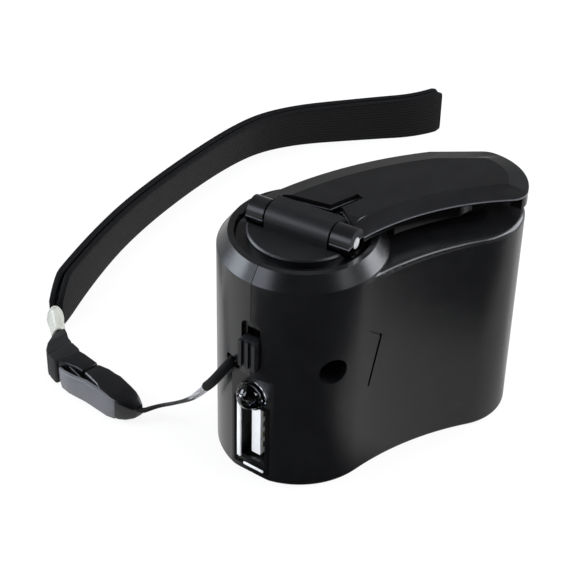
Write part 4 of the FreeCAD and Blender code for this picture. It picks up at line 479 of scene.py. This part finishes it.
def joined(name, *parts):
    """Several solids of one moulding become one piece."""
    bpy.ops.object.select_all(action="DESELECT")
    for part in parts:
        part.select_set(True)
    bpy.context.view_layer.objects.active = parts[0]
    bpy.ops.object.join()
    parts[0].name = name
    return parts[0]


dress(grained("nickel_plate", dark=(0.07, 0.07, 0.07), light=(0.12, 0.12, 0.12), roughness=0.34,
              metallic=1.0), "usb_shell")
dress(grained("tongue_white", dark=(0.90, 0.90, 0.89), light=(0.95, 0.95, 0.94), roughness=0.4),
      "usb_tongue")
dress(grained("gilt", dark=(0.26, 0.22, 0.09), light=(0.38, 0.32, 0.13), roughness=0.3, metallic=1.0),
      "usb_contacts")

# A near-black rim round the mouth: painted shade of the gap between the socket and the wall.
shade_rim = rounded(hollowed(bar("socket_shade_rim", SHADE_RIM), SHADE_RIM_WALL), 0.03, angle=35.0, segments=2)
settled(shade_rim, PORT_ANGLE, PORT_PLACE)
own(shade_rim, grained("shade_rim_black", dark=(0.002, 0.002, 0.002), light=(0.003, 0.003, 0.003),
                    roughness=0.8, shine=0.08))

side_lip = rounded(bar("side_lip", SIDE_LIP), 0.16, angle=40.0)
foot_lip = rounded(bar("foot_lip", FOOT_LIP), 0.16, angle=40.0)
lips = settled(joined("socket_lips", side_lip, foot_lip), PORT_ANGLE, PORT_PLACE)
# The lips' near-white is the tin's own tone together with a painted reflection.
own(lips, grained("tin_and_painted_shine", dark=(0.84, 0.84, 0.83), light=(0.92, 0.92, 0.91), roughness=0.42,
                  metallic=0.15))


# ---- lamp ----------------------------------------------------------------------------------
# A 5 mm lamp moulded in clear epoxy with faint waves in its skin. Inside stand the bright cup and
# the post of its lead frame, and two tinned leads go to the board.
LENS_TINT = (0.66, 0.68, 0.75, 1.0)
LENS_WAVE_SCALE = 1000.0
LENS_WAVE_DEPTH = 0.00011
CUP = [(10.4, 0.4, 1.1, 18.35, 19.45), (12.0, 0.4, 1.5, 18.15, 19.65), (12.9, 0.4, 2.3, 17.75, 20.05)]
CUP_MOUTH = 0.0128
CUP_LIP = 0.00015
CUP_DEPTH = 0.0008
CUP_FLOOR = 0.45
POST = [(10.4, -1.3, 0.5, 18.5, 19.3), (12.3, -1.3, 0.8, 18.2, 19.6), (12.8, -0.9, 0.4, 18.6, 19.2)]

clear = Finish(bpy.data.materials.new("clear_epoxy"))
place = clear.node("ShaderNodeTexCoord", {}, {}, "Object")
waves = clear.node("ShaderNodeTexNoise", {}, {"Vector": place, "Scale": LENS_WAVE_SCALE, "Detail": 1.5})
dress(clear.show(clear.node("ShaderNodeBsdfPrincipled", {}, {
    "Base Color": LENS_TINT, "Roughness": 0.02, "Transmission Weight": 1.0, "IOR": 1.52,
    "Normal": clear.node("ShaderNodeBump", {},
                         {"Strength": 0.6, "Distance": LENS_WAVE_DEPTH, "Height": waves})})), "led_lens")
dress(grained("tinned_leads", dark=(0.55, 0.56, 0.58), light=(0.75, 0.76, 0.78), roughness=0.25,
              metallic=1.0), "led_leads")

cup = bar("cup", CUP, sides=24)
bpy.ops.object.mode_set(mode="EDIT")
choose(lambda middle: middle.x > CUP_MOUTH)
bpy.ops.mesh.inset(thickness=CUP_LIP)
bpy.ops.mesh.extrude_region_move(TRANSFORM_OT_translate={"value": (-CUP_DEPTH, 0, 0)})
bpy.ops.transform.resize(value=(1, CUP_FLOOR, CUP_FLOOR))
bpy.ops.object.mode_set(mode="OBJECT")
rounded(cup, 0.05, angle=40.0, segments=2)
post = rounded(bar("post", POST), 0.08, angle=40.0, segments=2)
lamp_frame = settled(joined("lamp_frame", cup, post), PORT_ANGLE, PORT_PLACE)
own(lamp_frame, grained("cup_silver", dark=(0.35, 0.36, 0.40), light=(0.55, 0.56, 0.60), roughness=0.18,
                        metallic=1.0))


# ---- switch --------------------------------------------------------------------------------
# A ribbed knob stands out of an oblong recess and slides up and down on a small steel switch. It is
# moulded in a duller plastic than the housing.
dress(grained("switch_plastic", dark=(0.007, 0.0073, 0.0090), light=(0.010, 0.0103, 0.0125),
              roughness=0.46), "switch_knob")
dress(grained("switch_steel", dark=(0.5, 0.5, 0.5), light=(0.65, 0.65, 0.66), roughness=0.3, metallic=1.0),
      "switch_case")


# ---- turret and hinge ----------------------------------------------------------------------
# A satin disk turns in the rim. It carries the hinge barrel, whose skin is a little duller, and a
# steel pin with a small head goes through the barrel and both knuckles of the arm.
BARREL_FOOT = (0.0462, 0.0466)
BARREL_DULLER = 0.16


def reopened(material):
    """A grained material opened for a change: its nodes, its shader and the height above the table."""
    finish = Finish(material, fresh=False)
    place = finish.node("ShaderNodeTexCoord", {}, {}, "Object")
    return finish, finish.tree.nodes["Principled BSDF"], finish.axis(place, "Z")


def fed(finish, shader, name):
    """What this socket of the shader is fed with."""
    return Value(finish, shader.inputs[name].links[0].from_socket)


turret_plastic = grained("turret_plastic", dark=(0.0034, 0.0036, 0.0040), light=(0.0050, 0.0052, 0.0058),
                         roughness=0.30, relief=0.000015)
dulled, shader, height = reopened(turret_plastic)
duller = fed(dulled, shader, "Roughness") + dulled.ramp(height, *BARREL_FOOT) * BARREL_DULLER
dulled.tree.links.new(duller.socket, shader.inputs["Roughness"])
dress(turret_plastic, "rotor_disk")
dress(grained("pin_steel", dark=(0.80, 0.80, 0.81), light=(0.90, 0.90, 0.91), roughness=0.35, metallic=0.6),
      "hinge_pin")


# ---- crank arm and knob --------------------------------------------------------------------
# The arm is a shallow moulded tray with a crowned top, as wide as the housing. A pale band along
# its lower edge is a painted highlight, and below it the walls and inside are painted darker, a
# painted shade, and are smoother. A low knob under its tip turns on a shouldered screw.
ARM_EDGE = 0.0480
HIGHLIGHT_BAND = 0.00025
EDGE_SOFT = 0.00004
# Painted shade on the walls below the edge, and a painted highlight in a band along the edge.
ARM_PAINTED_SHADE = (0.0008, 0.0008, 0.0009)
ARM_EDGE_HIGHLIGHT = (0.130, 0.130, 0.142)
UNDERSIDE_SMOOTHER = 0.20

arm_plastic = grained("arm_plastic", dark=(0.0034, 0.0035, 0.0039), light=(0.0052, 0.0053, 0.0058),
                      roughness=0.32, relief=0.000015)
painted_arm, shader, height = reopened(arm_plastic)
# Below the edge the colour is painted shade; a thin band just under the edge is a painted highlight.
top = painted_arm.ramp(height, ARM_EDGE - EDGE_SOFT, ARM_EDGE + EDGE_SOFT)
edge = painted_arm.ramp(height, ARM_EDGE - HIGHLIGHT_BAND - EDGE_SOFT, ARM_EDGE - HIGHLIGHT_BAND + EDGE_SOFT) * (1 - top)
lower = painted_arm.blend(top, ARM_PAINTED_SHADE, fed(painted_arm, shader, "Base Color"))
highlighted = painted_arm.blend(edge, lower, ARM_EDGE_HIGHLIGHT)
smoother = fed(painted_arm, shader, "Roughness") - (1 - top) * UNDERSIDE_SMOOTHER
painted_arm.tree.links.new(highlighted.socket, shader.inputs["Base Color"])
painted_arm.tree.links.new(smoother.socket, shader.inputs["Roughness"])
dress(arm_plastic, "crank_arm")
# The knob's plastic is painted darker than the arm's, a painted shade under the arm, and matte.
dress(grained("knob_plastic", dark=(0.0020, 0.0021, 0.0023), light=(0.0032, 0.0033, 0.0036),
              roughness=0.65, shine=0.05), "crank_knob")


# ---- wrist strap ---------------------------------------------------------------------------
# One length of narrow ribbed webbing, folded in half. It stands on its edge on the table and leans
# towards the charger along its middle. The fold is at the far end, with rounded corners, and its
# two ends are squeezed together into the ferrule.
STRAP_LINE = [
    (-0.0316, 0.0478, 0), (-0.0220, 0.0585, 0), (-0.0044, 0.0736, 0), (0.0232, 0.0897, 0),
    (0.0375, 0.0930, 0), (0.0583, 0.0881, 0), (0.0702, 0.0849, 0), (0.0759, 0.0859, 0)]
STRAP_WIDTH = 0.0105
STRAP_LAYER = 0.00118
LAYER_OFFSET = 0.0009
STRAP_LEAN = math.radians(15)
FOLD_CORNER = 0.0023
SQUEEZED_WIDTH = 0.0054
SQUEEZED_FOOT = 0.0005
SQUEEZE_REACH = 0.0048
SQUEEZE_CURVE = 1.5
SELVEDGE_SOFT = 0.0003
SELVEDGE_ANGLE = math.radians(60)
STRAP_SMOOTH = math.radians(50)
STRAP_STEPS = 240
STRAP_STRIPS = 10
WEB_DARK = (0.0016, 0.0016, 0.0018)
WEB_LIGHT = (0.0042, 0.0042, 0.0047)
WEB_SPREAD = (0.15, 0.85)
WEB_ROUGHNESS = 0.72
WEB_SHINE = 0.12
WEB_RIBS = 14
WEB_PICKS = 620
WEB_FUZZ_SCALE = 2600.0
WEB_RELIEF = 0.0001
RIB_TONE = 0.45
PICK_TONE = 0.2
FUZZ_TONE = 0.35
RIB_RELIEF = 0.75
PICK_RELIEF = 0.25
RIB_SMOOTHER = 0.12


def measured(line):
    """The points of a smooth spline along this line, each with its distance from the start."""
    drawn = round_cord("guide", line, 0.0)
    drawn.data.resolution_u = 24
    mesh = bpy.data.meshes.new_from_object(drawn)
    points = [vertex.co.copy() for vertex in mesh.vertices]
    distances = [0.0]
    for first, second in zip(points, points[1:]):
        distances.append(distances[-1] + (second - first).length)
    bpy.data.objects.remove(drawn)
    bpy.data.meshes.remove(mesh)
    return points, distances


def along(points, distances, distance):
    """The place on the line at this distance, and the level direction to its left."""
    distance = min(max(distance, 0.0), distances[-1])
    step = max(1, next(i for i, d in enumerate(distances) if d >= distance - 1e-9))
    first, second = points[step - 1], points[step]
    share = (distance - distances[step - 1]) / (distances[step] - distances[step - 1])
    way = (second - first).normalized()
    return first.lerp(second, share), Vector((-way.y, way.x, 0.0))


def woven(name):
    """Black webbing by its own flat map: ribs across its width and picks along its length."""
    finish = Finish(bpy.data.materials.new(name))
    flat = finish.node("ShaderNodeTexCoord", {}, {}, "UV")
    length = finish.axis(flat, "X")
    width = finish.axis(flat, "Y")
    rib = 0.5 + 0.5 * finish.node("ShaderNodeMath", {"operation": "SINE"}, {
        0: width * (math.tau * WEB_RIBS)})
    pick = 0.5 + 0.5 * finish.node("ShaderNodeMath", {"operation": "SINE"}, {
        0: length * (math.tau * WEB_PICKS) + width * (math.pi * WEB_RIBS)})
    place = finish.node("ShaderNodeTexCoord", {}, {}, "Object")
    fuzz = finish.node("ShaderNodeTexNoise", {}, {"Vector": place, "Scale": WEB_FUZZ_SCALE, "Detail": 3.0})
    tone = rib * RIB_TONE + pick * PICK_TONE + fuzz * FUZZ_TONE
    relief = rib * RIB_RELIEF + pick * PICK_RELIEF
    return finish.show(finish.node("ShaderNodeBsdfPrincipled", {}, {
        "Base Color": finish.blend(finish.ramp(tone, *WEB_SPREAD), WEB_DARK, WEB_LIGHT),
        "Roughness": WEB_ROUGHNESS - rib * RIB_SMOOTHER,
        "Specular IOR Level": WEB_SHINE, "Sheen Weight": 0.01, "Sheen Roughness": 0.5,
        "Normal": finish.node("ShaderNodeBump", {},
                              {"Strength": 0.8, "Distance": WEB_RELIEF, "Height": relief})}))


line_points, line_distances = measured(STRAP_LINE)
run = line_distances[-1] - LAYER_OFFSET
fold = math.pi * LAYER_OFFSET
bpy.ops.object.select_all(action="DESELECT")
bpy.ops.mesh.primitive_grid_add(x_subdivisions=STRAP_STEPS, y_subdivisions=STRAP_STRIPS, size=1.0)
strap = bpy.context.object
strap.name = "webbing_strap"
for vertex in strap.data.vertices:
    # Where this point of the flat cut comes to lie: out along the line, round the fold and back.
    distance = (vertex.co.x + 0.5) * (2 * run + fold)
    share = vertex.co.y + 0.5
    turned = min(max((distance - run) / fold, 0.0), 1.0)
    reach = run if 0 < turned < 1 else min(distance, 2 * run + fold - distance)
    middle, left = along(line_points, line_distances, reach)
    ahead = Vector((left.y, -left.x, 0.0))
    sideways = LAYER_OFFSET * math.cos(math.pi * turned)
    onward = LAYER_OFFSET * math.sin(math.pi * turned)
    # How high it lies there, between the squeezed ends and the trimmed corners of the fold.
    squeeze = max(0.0, 1.0 - reach / SQUEEZE_REACH) ** SQUEEZE_CURVE
    low = SQUEEZED_FOOT * squeeze
    high = STRAP_WIDTH + (SQUEEZED_FOOT + SQUEEZED_WIDTH - STRAP_WIDTH) * squeeze
    short = max(0.0, FOLD_CORNER - abs(distance - run - fold / 2))
    trim = FOLD_CORNER - math.sqrt(FOLD_CORNER ** 2 - short ** 2)
    above = (low + trim) * (1 - share) + (high - trim) * share - STRAP_WIDTH / 2
    lean = STRAP_LEAN * math.sin(math.pi * reach / run)
    vertex.co = middle + left * (sideways - above * math.sin(lean)) + ahead * onward
    vertex.co.z = STRAP_WIDTH / 2 + above * math.cos(lean)
finished(strap, "SOLIDIFY", thickness=STRAP_LAYER, offset=0.0)
finished(strap, "BEVEL", width=SELVEDGE_SOFT, segments=2, limit_method="ANGLE", angle_limit=SELVEDGE_ANGLE)
bpy.ops.object.shade_smooth_by_angle(angle=STRAP_SMOOTH)
own(strap, woven("strap_webbing"))
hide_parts("wrist_strap")


# ---- ferrule -------------------------------------------------------------------------------
# A cream moulded sleeve squeezes the two strap ends together. It is hollow, tapers towards the
# strap's link and has a rim at each end.
FERRULE_PLACE = (-32.8, 43.7)
FERRULE_ANGLE = -101.0
FERRULE_WALL = 0.0004
FERRULE = [
    (-2.6, 0, 3.4, 0.0, 6.5), (-2.2, 0, 3.4, 0.0, 6.5), (-2.0, 0, 3.1, 0.2, 6.2),
    (2.3, 0.1, 2.9, 0.2, 5.0), (2.5, 0.1, 3.2, 0.0, 5.1), (2.9, 0.1, 3.2, 0.0, 4.9)]

ferrule = rounded(hollowed(bar("cream_ferrule", FERRULE, sides=40), FERRULE_WALL), 0.12, angle=35.0)
settled(ferrule, FERRULE_ANGLE, FERRULE_PLACE)
own(ferrule, grained("cream_moulding", dark=(0.37, 0.375, 0.33), light=(0.46, 0.465, 0.42),
                     roughness=0.35, grain=900.0))
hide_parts("strap_ferrule")


# ---- buckle --------------------------------------------------------------------------------
# A small side-release buckle of satin acetal. The plug's two sprung prongs end in broad pads that
# stand in the sides of the socket and are painted paler, a painted sheen of light off their sides,
# and the socket's nose narrows to the cords.
BUCKLE_PLACE = (-31.4, 25.8)
BUCKLE_ANGLE = -71.0
SOCKET = [
    (-0.85, 0.25, 3.7, 0.0, 5.2), (1.7, 0.5, 4.6, 0.0, 5.2), (3.7, 0.45, 4.9, 0.0, 5.2),
    (4.7, 0.25, 5.7, 0.0, 5.2), (8.0, 0.2, 5.4, 0.0, 5.0), (9.8, 0.35, 4.9, 0.1, 4.7),
    (11.0, 0.6, 4.0, 0.3, 4.2), (12.0, 0.9, 2.8, 0.7, 3.6), (12.6, 1.05, 2.1, 1.0, 3.3)]
HEEL = [
    (-11.4, -0.6, 4.0, 1.2, 4.2), (-10.4, -0.8, 4.4, 0.7, 4.7), (-8.5, -0.9, 4.8, 0.5, 4.9),
    (-6.5, -0.85, 5.5, 0.1, 5.2), (-5.2, -0.2, 4.6, 0.0, 5.2), (-3.0, 0.2, 3.9, 0.0, 5.2),
    (-1.0, 0.3, 3.8, 0.0, 5.2)]
PRONG = [
    (-6.6, -2.0, 0.6, 1.0, 4.6), (-4.4, -2.05, 0.45, 1.0, 4.6), (-1.8, -2.3, 0.45, 1.0, 4.6),
    (1.0, -2.65, 0.5, 1.0, 4.6), (3.4, -2.6, 0.6, 1.0, 4.6)]
LEFT_PAD = [
    (-6.4, -3.2, 0.5, 1.0, 4.0), (-4.5, -3.75, 0.9, 0.2, 4.4), (-2.5, -3.65, 1.0, 0.1, 4.6),
    (-0.5, -3.3, 1.0, 0.1, 4.8), (1.5, -2.9, 1.0, 0.1, 5.1), (4.5, -2.7, 0.9, 0.1, 5.2),
    (7.6, -2.55, 0.7, 0.1, 5.0), (9.4, -2.2, 0.5, 0.3, 4.6)]
RIGHT_PAD = [
    (-6.0, 1.7, 0.5, 1.0, 3.6), (-4.5, 2.1, 0.8, 0.2, 3.8), (-2.5, 2.15, 0.9, 0.1, 4.0),
    (-0.5, 2.2, 0.9, 0.1, 4.0), (1.5, 2.5, 0.9, 0.1, 4.0), (4.5, 2.65, 0.8, 0.1, 4.0),
    (7.6, 2.35, 0.6, 0.1, 3.9), (9.4, 1.8, 0.4, 0.3, 3.6)]

acetal_black = grained("buckle_acetal", dark=(0.0032, 0.0033, 0.0038), light=(0.0050, 0.0051, 0.0058),
                       roughness=0.3)
# The pads' paler tone is a painted sheen.
acetal_painted_sheen = grained("buckle_pads", dark=(0.085, 0.087, 0.098), light=(0.115, 0.117, 0.128),
                      roughness=0.36, grain=1500.0)

socket = rounded(bar("buckle_housing", SOCKET), 0.55)
settled(socket, BUCKLE_ANGLE, BUCKLE_PLACE)
own(socket, acetal_black)
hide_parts("buckle_socket")

plug = joined("buckle_tongue", rounded(bar("heel", HEEL), 0.5), rounded(bar("prong", PRONG), 0.15))
settled(plug, BUCKLE_ANGLE, BUCKLE_PLACE)
own(plug, acetal_black)
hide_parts("buckle_plug")

left_pad = rounded(bar("left_pad", LEFT_PAD), 0.22)
right_pad = rounded(bar("right_pad", RIGHT_PAD), 0.22)
pads = settled(joined("buckle_pads", left_pad, right_pad), BUCKLE_ANGLE, BUCKLE_PLACE)
own(pads, acetal_painted_sheen)


# ---- strap link ----------------------------------------------------------------------------
# A short doubled piece of the same webbing. It comes out of the ferrule, spreads to its full width
# and wraps round the heel of the buckle's plug.
LINK = [
    (-17.0, 4.6, 1.9, 0.6, 3.8), (-15.3, 3.6, 2.1, 0.5, 4.1), (-14.4, 2.9, 2.7, 0.4, 4.6),
    (-13.2, 1.8, 3.7, 0.2, 5.2), (-12.0, 0.7, 4.7, 0.1, 5.6), (-10.7, -0.3, 5.4, 0.0, 5.5),
    (-9.5, -0.75, 5.8, 0.0, 5.5), (-9.2, -0.8, 5.6, 0.1, 5.3), (-8.9, -0.85, 5.8, 0.0, 5.5),
    (-6.8, -1.05, 6.0, 0.0, 5.4), (-6.3, -1.05, 5.6, 0.2, 5.2)]

link = rounded(bar("webbing_link", LINK), 0.4, angle=18.0)
settled(link, BUCKLE_ANGLE, BUCKLE_PLACE)
own(link, grained("link_webbing", dark=WEB_DARK, light=WEB_LIGHT, roughness=0.7, grain=2200.0,
                  relief=0.00008))
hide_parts("strap_link")
